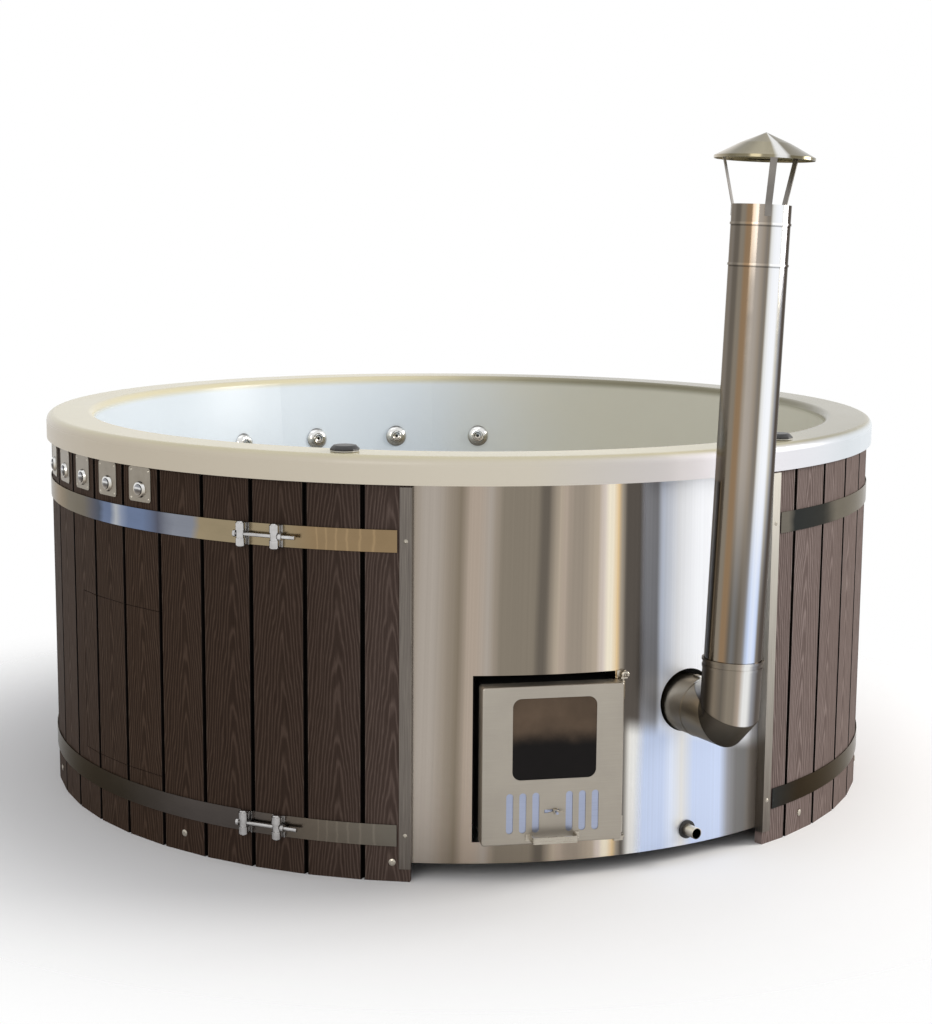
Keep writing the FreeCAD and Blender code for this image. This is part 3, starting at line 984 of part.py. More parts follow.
def riser():
    """The pressure pipe: up from the pump, out past the bench and up into the water ring."""
    across = -size.wet_end_length / 2
    start = size.pump_level + size.wet_end_outer / 2 + size.fit_gap
    top = water_level - size.water_pipe / 2 - size.fit_gap
    corners = [FreeCAD.Vector(across, y, z) for y, z in (
        (start, size.pump_radius), (size.riser_level, size.pump_radius),
        (size.riser_level, size.water_radius), (top, size.water_radius))]
    section = Part.Wire(Part.makeCircle(size.water_pipe / 2, corners[0], FreeCAD.Vector(0, 1, 0)))
    right_corner = 1
    return Part.makePolygon(corners).makePipeShell([section], True, False, right_corner)


riser_pipe = riser()
riser_pipe.Placement = PUMP_FRONT
shape_node("pump_pipes", [copied(suction, FreeCAD.Placement()), riser_pipe])

# Service hatch: battens that hold its boards together, ledges that it rests against
BATTEN = (f"{INNER_FACE} - fit_gap - batten_thick", f"{INNER_FACE} - fit_gap")
hatch_span = hatch_right - size.hatch_left - 4 * hatch_turn
battens = []
for low in ("hatch_low + batten_inset", "hatch_high - batten_inset - batten_height"):
    batten = turned_body("Batten", rectangle(*BATTEN, low, f"{low} + batten_height"), hatch_span)
    battens.append(copied(batten, turned(size.hatch_left + 2 * hatch_turn - 90)))
shape_node("hatch_battens", battens)
ledges = []
for low in ("hatch_low + ledge_lap - ledge_height", "hatch_high - ledge_lap"):
    ledge = turned_body("Ledge", rectangle(*BATTEN, low, f"{low} + ledge_height"),
                        f"{hatch_right - size.hatch_left} + 2 * ledge_overrun")
    ledges.append(copied(ledge, turned(size.hatch_left - size.ledge_overrun - 90)))
shape_node("hatch_ledges", ledges)

# Holes in the basin for the drain, the jets, the air valves and the stove's circulation
basin_holes = [placed(rod("outlet_diameter / 2", "sump_bottom + sump_wall", "floor_height + 1"), DRAIN_DOWN)]
basin_holes += [placed(rod("jet_body / 2 + fit_gap", "-3 * shell_wall", "shell_wall"), inward(azimuth))
                for azimuth in jet_azimuths]
basin_holes += [placed(rod(STEM_HOLE, "rim_top - 2 * shell_wall", "rim_top + 1"), place)
                for place in knob_places.values()]
basin_holes += [placed(rod("circulation_diameter / 2 - circulation_wall",
                           "well_radius - circulation_diameter", "stove_back", right, level), FIRE_FRONT)
                for right, level in PIPE_ENDS]
basin_holes += [placed(rod("pump_port / 2 - circulation_wall", "well_radius - pump_port",
                           "(pump_radius + bench_radius) / 2", "-wet_end_length / 2", "suction_level"),
                       PUMP_FRONT)]
basin = copied(cut(shell, *basin_holes), FreeCAD.Placement())


def sector(index):
    """An equal share of everything round the tub's axis, between two upright planes."""
    turn = 360 / size.basin_sectors
    share = Part.makeCylinder(2 * size.lip_radius, 2 * size.rim_top, FreeCAD.Vector(), UP, turn)
    share.Placement = turned(size.first_sector - 90 + index * turn)
    return share


# The moulding is kept as equal sectors that meet on upright planes clear of every hole
shape_node("tub_shell", [piece for i in range(int(size.basin_sectors))
                         for piece in basin.common(sector(i)).Solids])

doc.recompute()
failed = [thing.Name for thing in doc.Objects if {"Invalid", "Error"} & set(thing.State)]
broken = [label for label, thing in nodes.items() if thing.Shape.isNull() or not thing.Shape.isValid()]
if failed or broken:
    raise RuntimeError(f"failed objects {failed}, broken shapes {broken}")
os.makedirs("parts", exist_ok=True)
for label, thing in nodes.items():
    thing.Shape.exportStep(f"parts/{label}.step")
print(len(nodes), "sub-parts written")
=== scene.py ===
# %% [markdown]
# # A wood-fired hot tub
# The solids of the tub are already built: this lesson loads them as a fixed frame and gives them their
# looks. Everything is in metres, in one frame: the tub's axis is Z, the floor is Z = 0 and the stove panel
# faces -Y.

# %% Load the frame
import json
import math

import bpy
from mathutils import Euler, Matrix, Vector


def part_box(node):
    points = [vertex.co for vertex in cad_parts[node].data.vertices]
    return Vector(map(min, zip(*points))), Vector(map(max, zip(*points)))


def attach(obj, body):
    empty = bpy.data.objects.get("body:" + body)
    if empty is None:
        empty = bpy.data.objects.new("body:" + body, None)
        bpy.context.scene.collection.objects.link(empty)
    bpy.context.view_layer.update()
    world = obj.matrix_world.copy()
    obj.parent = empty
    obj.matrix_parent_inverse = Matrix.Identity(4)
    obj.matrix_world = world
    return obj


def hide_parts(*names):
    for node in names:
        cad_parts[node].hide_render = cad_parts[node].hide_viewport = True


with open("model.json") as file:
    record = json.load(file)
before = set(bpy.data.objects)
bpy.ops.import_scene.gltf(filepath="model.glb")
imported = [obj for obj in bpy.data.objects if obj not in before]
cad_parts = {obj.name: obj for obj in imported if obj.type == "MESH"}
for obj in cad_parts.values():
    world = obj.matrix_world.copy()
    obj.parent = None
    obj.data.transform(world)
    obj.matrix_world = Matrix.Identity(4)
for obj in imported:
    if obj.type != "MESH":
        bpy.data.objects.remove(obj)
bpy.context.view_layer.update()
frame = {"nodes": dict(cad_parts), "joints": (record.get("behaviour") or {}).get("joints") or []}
nodes = frame["nodes"]
bpy.ops.object.select_all(action="DESELECT")

# %% [markdown]
# ## The camera
# A product picture is taken from a little above the rim with a longish lens, so that the round rim reads as
# a slim ellipse. The camera was fitted to the rim, the straps and the upright board edges, so its place is
# given as a distance from the tub's axis, a height and three small angles.

# %% Camera
VIEW_AZIMUTH = math.radians(-18.25)
VIEW_DISTANCE = 5.2194
VIEW_HEIGHT = 1.4917
VIEW_PITCH = 0.1552
VIEW_YAW = 0.0038
VIEW_ROLL = 0.0076
VIEW_LENS = 67.18

camera_data = bpy.data.cameras.new("studio_camera")
camera_data.lens = VIEW_LENS
camera_data.sensor_width = 36
camera = bpy.data.objects.new("studio_camera", camera_data)
bpy.context.scene.collection.objects.link(camera)
heading = Euler((0, 0, VIEW_AZIMUTH - VIEW_YAW)).to_matrix().to_4x4()
tilt = Euler((math.pi / 2 - VIEW_PITCH, 0, 0)).to_matrix().to_4x4()
roll = Euler((0, 0, VIEW_ROLL)).to_matrix().to_4x4()
camera_place = Vector((math.sin(VIEW_AZIMUTH), -math.cos(VIEW_AZIMUTH), 0)) * VIEW_DISTANCE
camera_place.z = VIEW_HEIGHT
camera.matrix_world = Matrix.Translation(camera_place) @ heading @ tilt @ roll
bpy.context.scene.camera = camera
print("camera at", [round(value, 3) for value in camera_place])

# %% [markdown]
# ## Light
# Large soft lamps give long gentle highlights on the steel. The key lamp stands far round on the right,
# because the boards on that side are the lighter ones, and a weaker one fills the front.

# %% Lamps
bpy.context.scene.view_settings.view_transform = "Standard"


def soft_lamp(name, place, aim, width, height, power, colour):
    """A rectangular studio lamp that looks at a point."""
    lamp_data = bpy.data.lights.new(name, "AREA")
    lamp_data.shape = "RECTANGLE"
    lamp_data.size = width
    lamp_data.size_y = height
    lamp_data.energy = power
    lamp_data.color = colour
    lamp = bpy.data.objects.new(name, lamp_data)
    bpy.context.scene.collection.objects.link(lamp)
    direction = Vector(aim) - Vector(place)
    facing = direction.to_track_quat("-Z", "Y").to_matrix().to_4x4()
    lamp.matrix_world = Matrix.Translation(place) @ facing


WARM = (1.0, 0.97, 0.93)
COOL = (0.93, 0.96, 1.0)
soft_lamp("key_lamp", (5.0, -1.6, 2.4), aim=(0.4, -0.2, 0.5), width=2.2, height=2.6, power=255, colour=WARM)
soft_lamp("fill_lamp", (-3.6, -4.6, 2.8), aim=(-0.3, 0.0, 0.5), width=2.4, height=2.6, power=50, colour=WARM)
soft_lamp("top_lamp", (-0.4, 0.4, 4.6), aim=(0.0, 0.0, 0.6), width=3.4, height=3.4, power=22, colour=COOL)
print("3 lamps placed")

# %% [markdown]
# ## World
# A product picture has a white background, but a world that lights the tub at full strength would wash out
# the pale basin. So the world is white to the camera and to mirror-like rays, and dimmer as a source of
# light. A Light Path node tells which kind of ray asks.

# %% World
WORLD_STRENGTH = 0.55

world = bpy.data.worlds.new("studio_world")
bpy.context.scene.world = world
world.use_nodes = True
world_nodes, world_links = world.node_tree.nodes, world.node_tree.links
world_nodes.clear()
world_out = world_nodes.new("ShaderNodeOutputWorld")
shown, lighting = world_nodes.new("ShaderNodeBackground"), world_nodes.new("ShaderNodeBackground")
shown.inputs["Color"].default_value = (1, 1, 1, 1)
lighting.inputs["Color"].default_value = (0.98, 0.98, 1.0, 1)
lighting.inputs["Strength"].default_value = WORLD_STRENGTH
ray = world_nodes.new("ShaderNodeLightPath")
seen = world_nodes.new("ShaderNodeMath")
seen.operation = "MAXIMUM"
seen_or_through = world_nodes.new("ShaderNodeMath")
seen_or_through.operation = "MAXIMUM"
world_mix = world_nodes.new("ShaderNodeMixShader")
world_links.new(ray.outputs["Is Camera Ray"], seen.inputs[0])
world_links.new(ray.outputs["Is Glossy Ray"], seen.inputs[1])
world_links.new(seen.outputs[0], seen_or_through.inputs[0])
world_links.new(ray.outputs["Is Transmission Ray"], seen_or_through.inputs[1])
world_links.new(seen_or_through.outputs[0], world_mix.inputs[0])
world_links.new(lighting.outputs[0], world_mix.inputs[1])
world_links.new(shown.outputs[0], world_mix.inputs[2])
world_links.new(world_mix.outputs[0], world_out.inputs[0])
print("world lights at strength", WORLD_STRENGTH)

# %% [markdown]
# ## Writing finishes as formulas
# A finish is a formula of a point's place. One small class wraps a socket: adding, multiplying or comparing
# wrapped sockets adds Math nodes, so a pattern can be read like arithmetic.

# %% Sockets that count
class Wire:
    """A socket of a finish; arithmetic on it grows the node tree."""

    def __init__(self, finish, socket):
        self.finish = finish
        self.socket = socket

    def math(self, operation, *others):
        settings = {"operation": operation}
        return self.finish.add("ShaderNodeMath", settings, dict(enumerate((self,) + others)))

    def __add__(self, other):
        return self.math("ADD", other)

    __radd__ = __add__

    def __mul__(self, other):
        return self.math("MULTIPLY", other)

    __rmul__ = __mul__

    def __sub__(self, other):
        return self.math("SUBTRACT", other)

    def __rsub__(self, other):
        return self.finish.add("ShaderNodeMath", {"operation": "SUBTRACT"}, {0: other, 1: self})

    def __truediv__(self, other):
        return self.math("DIVIDE", other)

    def __neg__(self):
        return self.math("MULTIPLY", -1.0)


print("sockets can be added, subtracted, multiplied and divided")

# %% [markdown]
# ## One material, one object
# A finish holds one material. It starts from the Object coordinates, split into X, Y and Z, and `add` makes
# any node and links it. The other methods are short names for the nodes that finishes need most often.
# Image textures would need unwrapped meshes, and formulas of the place don't.

# %% The finish class
def fill_ramp(ramp, plan):
    """Set a colour ramp's stops: (position, grey or colour)."""
    stops, mode = plan
    ramp.interpolation = mode
    while len(ramp.elements) < len(stops):
        ramp.elements.new(1.0)
    for element, (position, colour) in zip(ramp.elements, stops):
        element.position = position
        element.color = (colour, colour, colour, 1) if isinstance(colour, float) else (*colour, 1)


class Finish:
    """A procedural material under construction."""

    def __init__(self, name, **constants):
        self.material = bpy.data.materials.new(name)
        self.material.use_nodes = True
        self.tree = self.material.node_tree
        self.shader = self.tree.nodes["Principled BSDF"]
        for socket, value in constants.items():
            self.shader.inputs[socket.replace("_", " ")].default_value = value
        self.place = self.add("ShaderNodeTexCoord", {}, {}, "Object")
        split = self.add("ShaderNodeSeparateXYZ", {}, {"Vector": self.place})
        self.x, self.y, self.z = (Wire(self, split.socket.node.outputs[axis]) for axis in "XYZ")

    def add(self, kind, settings, inputs, output=0):
        """Any node: its settings first, then the values or links of its sockets."""
        node = self.tree.nodes.new(kind)
        for name, value in settings.items():
            if name == "stops":
                fill_ramp(node.color_ramp, value)
            else:
                setattr(node, name, value)
        for key, value in inputs.items():
            if isinstance(value, Wire):
                self.tree.links.new(value.socket, node.inputs[key])
            else:
                node.inputs[key].default_value = value
        return Wire(self, node.outputs[output])

    def stretched(self, scale):
        """The place, scaled differently along X, Y and Z."""
        return self.add("ShaderNodeVectorMath", {"operation": "MULTIPLY"}, {0: self.place, 1: scale})

    def noise(self, scale=1.0, detail=2.0, vector=None, roughness=0.5):
        """Soft noise about 0.5."""
        return self.add("ShaderNodeTexNoise", {}, {
            "Vector": vector or self.place, "Scale": scale, "Detail": detail, "Roughness": roughness})

    def ramp(self, factor, *stops, mode="LINEAR"):
        """Colours or greys along a factor."""
        return self.add("ShaderNodeValToRGB", {"stops": (stops, mode)}, {"Fac": factor})

    def mix(self, factor, first, second):
        """A blend of two colours, each a wire or a tone."""
        first, second = (each if isinstance(each, Wire) else (*each, 1) for each in (first, second))
        return self.add("ShaderNodeMix", {"data_type": "RGBA"}, {0: factor, 6: first, 7: second}, 2)

    def joined(self, x, y, z):
        """A vector from three values."""
        return self.add("ShaderNodeCombineXYZ", {}, {0: x, 1: y, 2: z})

    def set(self, **links):
        """Feed varying values into the shader's own sockets."""
        for socket, wire in links.items():
            self.tree.links.new(wire.socket, self.shader.inputs[socket.replace("_", " ")])
        return self

    def relief(self, height, depth, strength=1.0):
        """Bump the surface by a height formula of that depth in metres."""
        return self.set(Normal=self.add("ShaderNodeBump", {}, {
            "Strength": strength, "Distance": depth, "Height": height}))


print("finish class ready")

# %% [markdown]
# ## Colours
# A colour is easiest to judge as it looks on a screen, and a shader wants amounts of light. So each tone is
# written as it looks, in steps from 0 to 255, and converted. A finish then goes onto the solids by name.

# %% Tones and dressing
def tone(red, green, blue):
    """A colour picked as it looks on a screen, turned into light values."""
    return tuple((value / 255 / 12.92) if value <= 10 else ((value / 255 + 0.055) / 1.055) ** 2.4
                 for value in (red, green, blue))


def wear(finish, *names):
    """Dress CAD nodes in a finish."""
    for name in names:
        nodes[name].data.materials.clear()
        nodes[name].data.materials.append(finish.material)


print("middle grey is", round(tone(128, 128, 128)[0], 3), "of full light")

# %% [markdown]
# ## Floor
# A pale round floor catches the shadow. Further out it fades away into the white world, so there is no
# horizon.

# %% Floor
FLOOR_RADIUS = 3.4
FADE_START, FADE_END = 0.35, 0.62
bpy.ops.mesh.primitive_circle_add(vertices=128, radius=FLOOR_RADIUS, fill_type="NGON")
floor = bpy.context.object
floor.name = "studio_floor"
floor_finish = Finish("studio_floor_paint", Base_Color=(0.94, 0.94, 0.94, 1), Roughness=0.9)
floor_reach = (floor_finish.x * floor_finish.x + floor_finish.y * floor_finish.y).math("SQRT")
floor_finish.set(Alpha=floor_finish.ramp(floor_reach / FLOOR_RADIUS, (FADE_START, 1.0), (FADE_END, 0.0),
                                         mode="EASE"))
floor.data.materials.append(floor_finish.material)
print("floor fades out at", round(FADE_END * FLOOR_RADIUS, 2), "m")

# %% [markdown]
# ## Board cladding
# The boards are extruded wood-plastic, embossed with a cathedral grain: nested pointed arches up the middle
# of each board and steep lines at its sides. A cathedral is what a slanting cut through growth rings gives,
# so the formula is just that: distance from the board's middle plus a share of the height, made wavy, then
# striped. Each board gets its own number from its place round the tub, and that number shifts the arches.
# The grooves between boards are painted nearly black as shade, and a thin line beside each groove is a
# painted highlight. The boards on the flue's side of the tub are painted lighter, as painted light from that
# side, and those on the side of the controls keep their own dark brown.

# %% Composite board finish
BOARD_COUNT = 43
FIRST_BOARD_EDGE = math.radians(180 - 29.36)
BOARD_PITCH = math.radians((360 - 28.25 - 29.36) / BOARD_COUNT)
BOARD_RADIUS = 1.095
RING_SPACING = 0.0075
ARCH_STEEPNESS = 0.085
ARCH_ROUNDING = 0.010
EDGE_LINE, EDGE_HALF = 0.0606, 0.0006
GROOVE_LINE = 0.0613

board_finish = Finish("composite_board", Roughness=0.6, Specular_IOR_Level=0.05)
around = (-board_finish.x).math("ARCTAN2", board_finish.y)
board_turn = (around - FIRST_BOARD_EDGE) / BOARD_PITCH
board_number = board_turn.math("FLOOR")
across = (board_turn - board_number - 0.5) * (BOARD_PITCH * BOARD_RADIUS)
luck = board_finish.add("ShaderNodeTexWhiteNoise", {"noise_dimensions": "1D"}, {"W": board_number})
shifted = board_finish.z + luck * 7.0
wander = board_finish.noise(1.0, 2.0, board_finish.joined(across * 9.0, shifted * 2.6, board_number * 3.7))
middle = across + (wander - 0.5) * 0.035 + (luck - 0.5) * 0.03
arch = (middle * middle + ARCH_ROUNDING ** 2).math("SQRT") + shifted * ARCH_STEEPNESS
waver = board_finish.noise(1.0, 3.0, board_finish.joined(across * 60.0, shifted * 9.0, board_number))
rings = (arch / RING_SPACING + (waver - 0.5) * 1.6) * math.tau
ridge = (rings.math("SINE") * 0.5 + 0.5).math("POWER", 2.5)
fibre = board_finish.noise(1.0, 4.0, board_finish.joined(across * 420.0, shifted * 7.0, board_number), 0.6)
from_middle = across.math("ABSOLUTE")
# a thin painted highlight beside each groove
edge_highlight = from_middle.math("COMPARE", EDGE_LINE, EDGE_HALF)
# the groove itself is painted nearly black as shade
groove_shade = from_middle.math("GREATER_THAN", GROOVE_LINE)
grain = ridge * 0.42 + fibre * 0.55
# painted light: the boards on the flue's side are painted lighter
lit_side = board_finish.ramp(around / math.tau + 0.5, (0.08, 0.85), (0.12, 0.58), (0.30, 0.45), (0.60, 0.05),
                          (0.83, 0.0), (0.90, 0.12), (0.93, 0.3))
shade = (luck - 0.5) * 0.16 + grain + edge_highlight * 0.3
own_board_colour = board_finish.ramp(shade, (0.10, tone(42, 30, 22)), (0.40, tone(57, 43, 33)),
                                 (0.68, tone(72, 56, 45)), (1.0, tone(96, 80, 68)))
lit_side_colour = board_finish.ramp(shade, (0.10, tone(84, 71, 67)), (0.40, tone(112, 98, 94)),
                                 (0.68, tone(130, 116, 112)), (1.0, tone(152, 140, 136)))
board_colour = board_finish.mix(lit_side, own_board_colour, lit_side_colour)
board_colour = board_finish.mix(groove_shade, board_colour, tone(14, 10, 8))
board_finish.set(Base_Color=board_colour, Roughness=0.70 - grain * 0.18)
board_finish.relief(grain, 0.0005, 0.7)
wear(board_finish, "cladding_boards", "hatch_boards")
print("boards: ring spacing", RING_SPACING * 1000, "mm")

# %% [markdown]
# ## The moulded basin
# The basin is glossy acrylic or gel coat: a cream top, a paler outer lip and a slightly grey wall inside. The
# three tones follow from the place alone: how far a point lies from the axis and how high it is. On the
# flue's side the wall carries a painted warm reflection and the top a painted warm shade. Along the lip,
# painted light makes it lightest in the middle, darker at both ends and cooler on the flue's side. A very
# fine waviness, as of a sprayed coat, keeps the highlights from looking like glass, and the wall inside is a
# little less glossy than the rim.

# %% Basin finish
LIP_RADIUS, LIP_BLEND = 1.107, 0.012
RIM_TOP, RIM_BLEND = 0.968, 0.03
RIM_SPAN = 2.4


def tinted(finish, colour, change):
    """A colour made brighter or darker by a change about zero."""
    return finish.add("ShaderNodeHueSaturation", {}, {"Value": change + 1.0, "Color": colour})


basin_finish = Finish("acrylic_white", Roughness=0.2, Specular_IOR_Level=0.32)
reach = (basin_finish.x * basin_finish.x + basin_finish.y * basin_finish.y).math("SQRT")
on_lip = basin_finish.ramp((reach - (LIP_RADIUS - LIP_BLEND)) / LIP_BLEND, (0.0, 0.0), (1.0, 1.0),
                           mode="EASE")
inside = basin_finish.ramp((RIM_TOP - basin_finish.z) / RIM_BLEND, (0.25, 0.0), (1.0, 1.0), mode="EASE")
stains = basin_finish.noise(3.0, 4.0)
# painted warm reflection and shade on the flue's side
painted_warm_side = basin_finish.ramp(basin_finish.x + (stains - 0.5) * 0.3, (0.0, 0.0), (0.75, 1.0), mode="EASE")
wall_tone = basin_finish.mix(painted_warm_side, tone(218, 226, 232), tone(212, 207, 188))
top_tone = basin_finish.mix(painted_warm_side, tone(214, 205, 172), tone(132, 126, 100))
# painted light along the lip: lighter in the middle, darker and cooler towards the ends
lip_painted_light = basin_finish.ramp(
    basin_finish.x / RIM_SPAN + 0.5, (0.04, tone(210, 198, 176)), (0.42, tone(238, 230, 211)),
    (0.62, tone(243, 240, 246)), (0.80, tone(184, 191, 197)), (0.96, tone(168, 176, 183)))
basin_colour = basin_finish.mix(on_lip, basin_finish.mix(inside, top_tone, wall_tone), lip_painted_light)
basin_finish.set(Base_Color=tinted(basin_finish, basin_colour, (stains - 0.5) * 0.08),
                 Roughness=stains * 0.12 + inside * 0.12 + 0.14)
basin_finish.relief(basin_finish.noise(45.0, 2.0), 0.0004, 0.35)
wear(basin_finish, "tub_shell")
print("basin finish done")

# %% [markdown]
# ## Mirror-bright steel
# The panel, the chimney, the cap and the straps are thin polished sheet. Such sheet is never quite flat along
# the roll, so what it mirrors is drawn out into upright bands. In a plain studio there is little to mirror,
# so the bands are painted reflections in the finish: a ramp of tones across each piece, broken up by noise
# that only changes across it. On the panel they include painted sky low on the right and a painted dark band
# beside the flue. A small roughness blurs the studio's own reflections on top. Beside the flue the panel
# would mirror the flue's dark back, so it is a little duller there.

# %% Panel finish
PANEL_HALF = math.radians(23.6)
FLARE_TOP, FLARE_RATE = 0.86, 0.06
LOW_EDGE_MIDDLE, LOW_EDGE_SLOPE = 0.72, 0.22
LOW_END, HIGH_START = 0.28, 0.33
RIGHT_START, DULL_START, DULL_END = 0.545, 0.57, 0.62
BRIGHT, PEARL, ROSE = tone(226, 226, 224), tone(200, 195, 184), tone(208, 196, 187)
CREAM, GOLD, STRAW = tone(236, 226, 204), tone(222, 192, 146), tone(188, 176, 156)
BRONZE, SMOKE, SLATE = tone(158, 148, 134), tone(126, 119, 111), tone(144, 145, 150)
LEAD, PITCH, SHADE = tone(112, 111, 110), tone(86, 80, 74), tone(100, 93, 84)
PEWTER, SAND, STONE = tone(166, 157, 147), tone(170, 156, 142), tone(176, 163, 146)
TAN, FLINT, DRAB = tone(150, 139, 126), tone(130, 121, 108), tone(126, 115, 100)
SKY, HAZE, FROST = tone(200, 214, 242), tone(222, 231, 248), tone(244, 246, 250)


def streaked(finish, across, count, amount):
    """Fine upright streaks that change only across a piece."""
    lines = finish.noise(1.0, 4.0, finish.joined(across * count, finish.z * 0.35, 0.0), 0.6)
    return (lines - 0.5) * amount


panel_finish = Finish("panel_steel", Metallic=1.0, Roughness=0.16)
panel_angle = panel_finish.x.math("ARCTAN2", -panel_finish.y)
flare = 1.0 + (FLARE_TOP - panel_finish.z) * FLARE_RATE
panel_across = (panel_angle / flare + PANEL_HALF) / (2 * PANEL_HALF)
sway = panel_finish.noise(1.0, 1.0, panel_finish.joined(panel_across * 3.0, panel_finish.z * 1.5, 0.0))
# painted reflections: bands of tones across the panel
panel_bands = panel_finish.ramp(
    panel_across + (sway - 0.5) * 0.016 + streaked(panel_finish, panel_across, 60.0, 0.012),
    (0.0, TAN), (0.03, PEWTER), (0.06, PEWTER), (0.09, TAN), (0.12, DRAB), (0.147, SAND), (0.165, SAND),
    (0.195, PEWTER), (0.21, TAN), (0.225, FLINT), (0.31, FLINT), (0.323, SHADE), (0.337, SHADE),
    (0.368, STONE), (0.384, SAND), (0.404, TAN), (0.43, TAN), (0.47, STONE), (0.486, ROSE), (0.498, CREAM),
    (0.51, CREAM), (0.525, GOLD), (0.535, BRONZE), (0.549, PITCH), (0.586, PITCH), (0.605, SLATE),
    (0.637, SLATE), (0.65, HAZE), (0.70, FROST), (0.92, FROST), (1.0, SLATE))
# painted sky and bright reflections low on the right
panel_low = panel_finish.ramp(
    panel_across + (sway - 0.5) * 0.05,
    (0.50, CREAM), (0.585, BRIGHT), (0.61, SKY), (0.66, SKY), (0.685, HAZE), (0.715, BRIGHT),
    (0.75, SKY), (0.84, SKY), (0.87, SLATE), (0.90, LEAD), (0.93, LEAD), (0.95, SMOKE), (1.0, SMOKE))
low_edge = panel_finish.z + (panel_across - LOW_EDGE_MIDDLE) * LOW_EDGE_SLOPE + (sway - 0.5) * 0.06
is_low = panel_finish.ramp(low_edge, (LOW_END, 1.0), (HIGH_START, 0.0), mode="EASE")
is_right = panel_finish.ramp(panel_across, (RIGHT_START, 0.0), (DULL_START, 1.0), mode="EASE")
panel_bands = panel_finish.mix(is_low * is_right, panel_bands, panel_low)
panel_lines = streaked(panel_finish, panel_across, 160.0, 0.22)
dulled = panel_finish.ramp(panel_across, (DULL_START, 0.0), (DULL_END, 1.0), mode="EASE")
panel_finish.set(Base_Color=tinted(panel_finish, panel_bands, panel_lines), Metallic=1.0 - dulled * 0.45,
                 Roughness=panel_lines * 0.25 + dulled * 0.16 + 0.17)
panel_waves = panel_finish.noise(1.0, 2.0, panel_finish.joined(panel_across * 22.0, panel_finish.z, 0.0))
panel_finish.relief(panel_waves, 0.0006, 0.25)
wear(panel_finish, "front_panel")
print("panel finish done")

# %% [markdown]
# ## Chimney
# The chimney is bright tube. A tube shows the whole room squeezed into its width, so its painted reflection
# bands follow the turn round its leaning axis. They are listed across the half that faces forward, from its
# left edge to its right one, and one more tone closes the ring behind. Lower down the bands are duller, and
# the cap's collar continues them. Each seam carries a painted shadow with a thin painted highlight just above
# it.

# %% Chimney finish
FLUE_AZIMUTH = math.radians(11.35)
FLUE_REACH = 1.230
FLUE_LEVEL = 0.381
FLUE_SLANT = math.tan(math.radians(2.4))
CHIMNEY_RADIUS = 0.0645
LOW_SEAM, HIGH_SEAM = 1.3815, 1.4685
SEAM_LIFT = 0.005
SHADOW_HALF, SHINE_HALF = 0.0016, 0.0022
FRONT_TURN, BACK_TURN = math.radians(-37.9), 0.75
LOW_BANDS_END, HIGH_BANDS_START = 0.58, 1.02
flue_side = Vector((math.cos(FLUE_AZIMUTH), math.sin(FLUE_AZIMUTH), 0))
flue_out = Vector((math.sin(FLUE_AZIMUTH), -math.cos(FLUE_AZIMUTH), 0))
flue_foot = flue_out * FLUE_REACH
SOOT, BRASS = tone(88, 82, 78), tone(138, 114, 88)


def flue_turn(finish):
    """Turn round the leaning flue: 0.5 faces away from the tub, and it grows to the right."""
    climb = (finish.z - FLUE_LEVEL) * FLUE_SLANT
    off_x = finish.x - flue_foot.x - climb * flue_side.x
    off_y = finish.y - flue_foot.y - climb * flue_side.y
    sideways = off_x * flue_side.x + off_y * flue_side.y
    outwards = off_x * flue_out.x + off_y * flue_out.y
    return sideways.math("ARCTAN2", outwards) / math.tau + 0.5


def round_flue(behind, *front):
    """Stops round the whole flue for tones across its front half, 0 left to 1 right, and one behind."""
    turned = [((FRONT_TURN + math.asin(2 * place - 1)) / math.tau + 0.5, colour) for place, colour in front]
    return [(0.0, behind), *turned, (BACK_TURN, behind), (1.0, behind)]


chimney_finish = Finish("chimney_steel", Metallic=1.0, Roughness=0.12, Specular_Tint=(0.5, 0.48, 0.46, 1))
chimney_place = flue_turn(chimney_finish)
chimney_lines = streaked(chimney_finish, chimney_place, 50.0, 0.5)
chimney_bands = chimney_finish.ramp(chimney_place + chimney_lines * 0.012, *round_flue(
    BRIGHT, (0.0, BRONZE), (0.06, SMOKE), (0.10, SHADE), (0.15, SHADE), (0.19, FLINT), (0.23, FLINT),
    (0.28, BRASS), (0.34, BRASS), (0.39, TAN), (0.44, PEWTER), (0.50, PEWTER), (0.57, TAN), (0.62, SMOKE),
    (0.66, FLINT), (0.70, BRIGHT), (0.76, FROST), (0.84, FROST), (0.88, PEARL), (0.92, SLATE), (0.95, SOOT),
    (1.0, SOOT)))
low_bands = chimney_finish.ramp(chimney_place + chimney_lines * 0.02, *round_flue(
    BRIGHT, (0.0, LEAD), (0.06, LEAD), (0.12, SHADE), (0.16, FLINT), (0.22, FLINT), (0.27, BRASS),
    (0.33, BRASS), (0.40, SHADE), (0.46, LEAD), (0.54, SHADE), (0.62, SMOKE), (0.66, SLATE), (0.72, SKY),
    (0.78, HAZE), (0.84, SKY), (0.88, SMOKE), (0.93, SOOT), (1.0, SOOT)))
is_low = chimney_finish.ramp(chimney_finish.z, (LOW_BANDS_END, 1.0), (HIGH_BANDS_START, 0.0), mode="EASE")
chimney_bands = chimney_finish.mix(is_low, chimney_bands, low_bands)
sideways_drop = ((chimney_place - 0.5) * math.tau).math("SINE") * (CHIMNEY_RADIUS * FLUE_SLANT)
seam_height = chimney_finish.z + sideways_drop
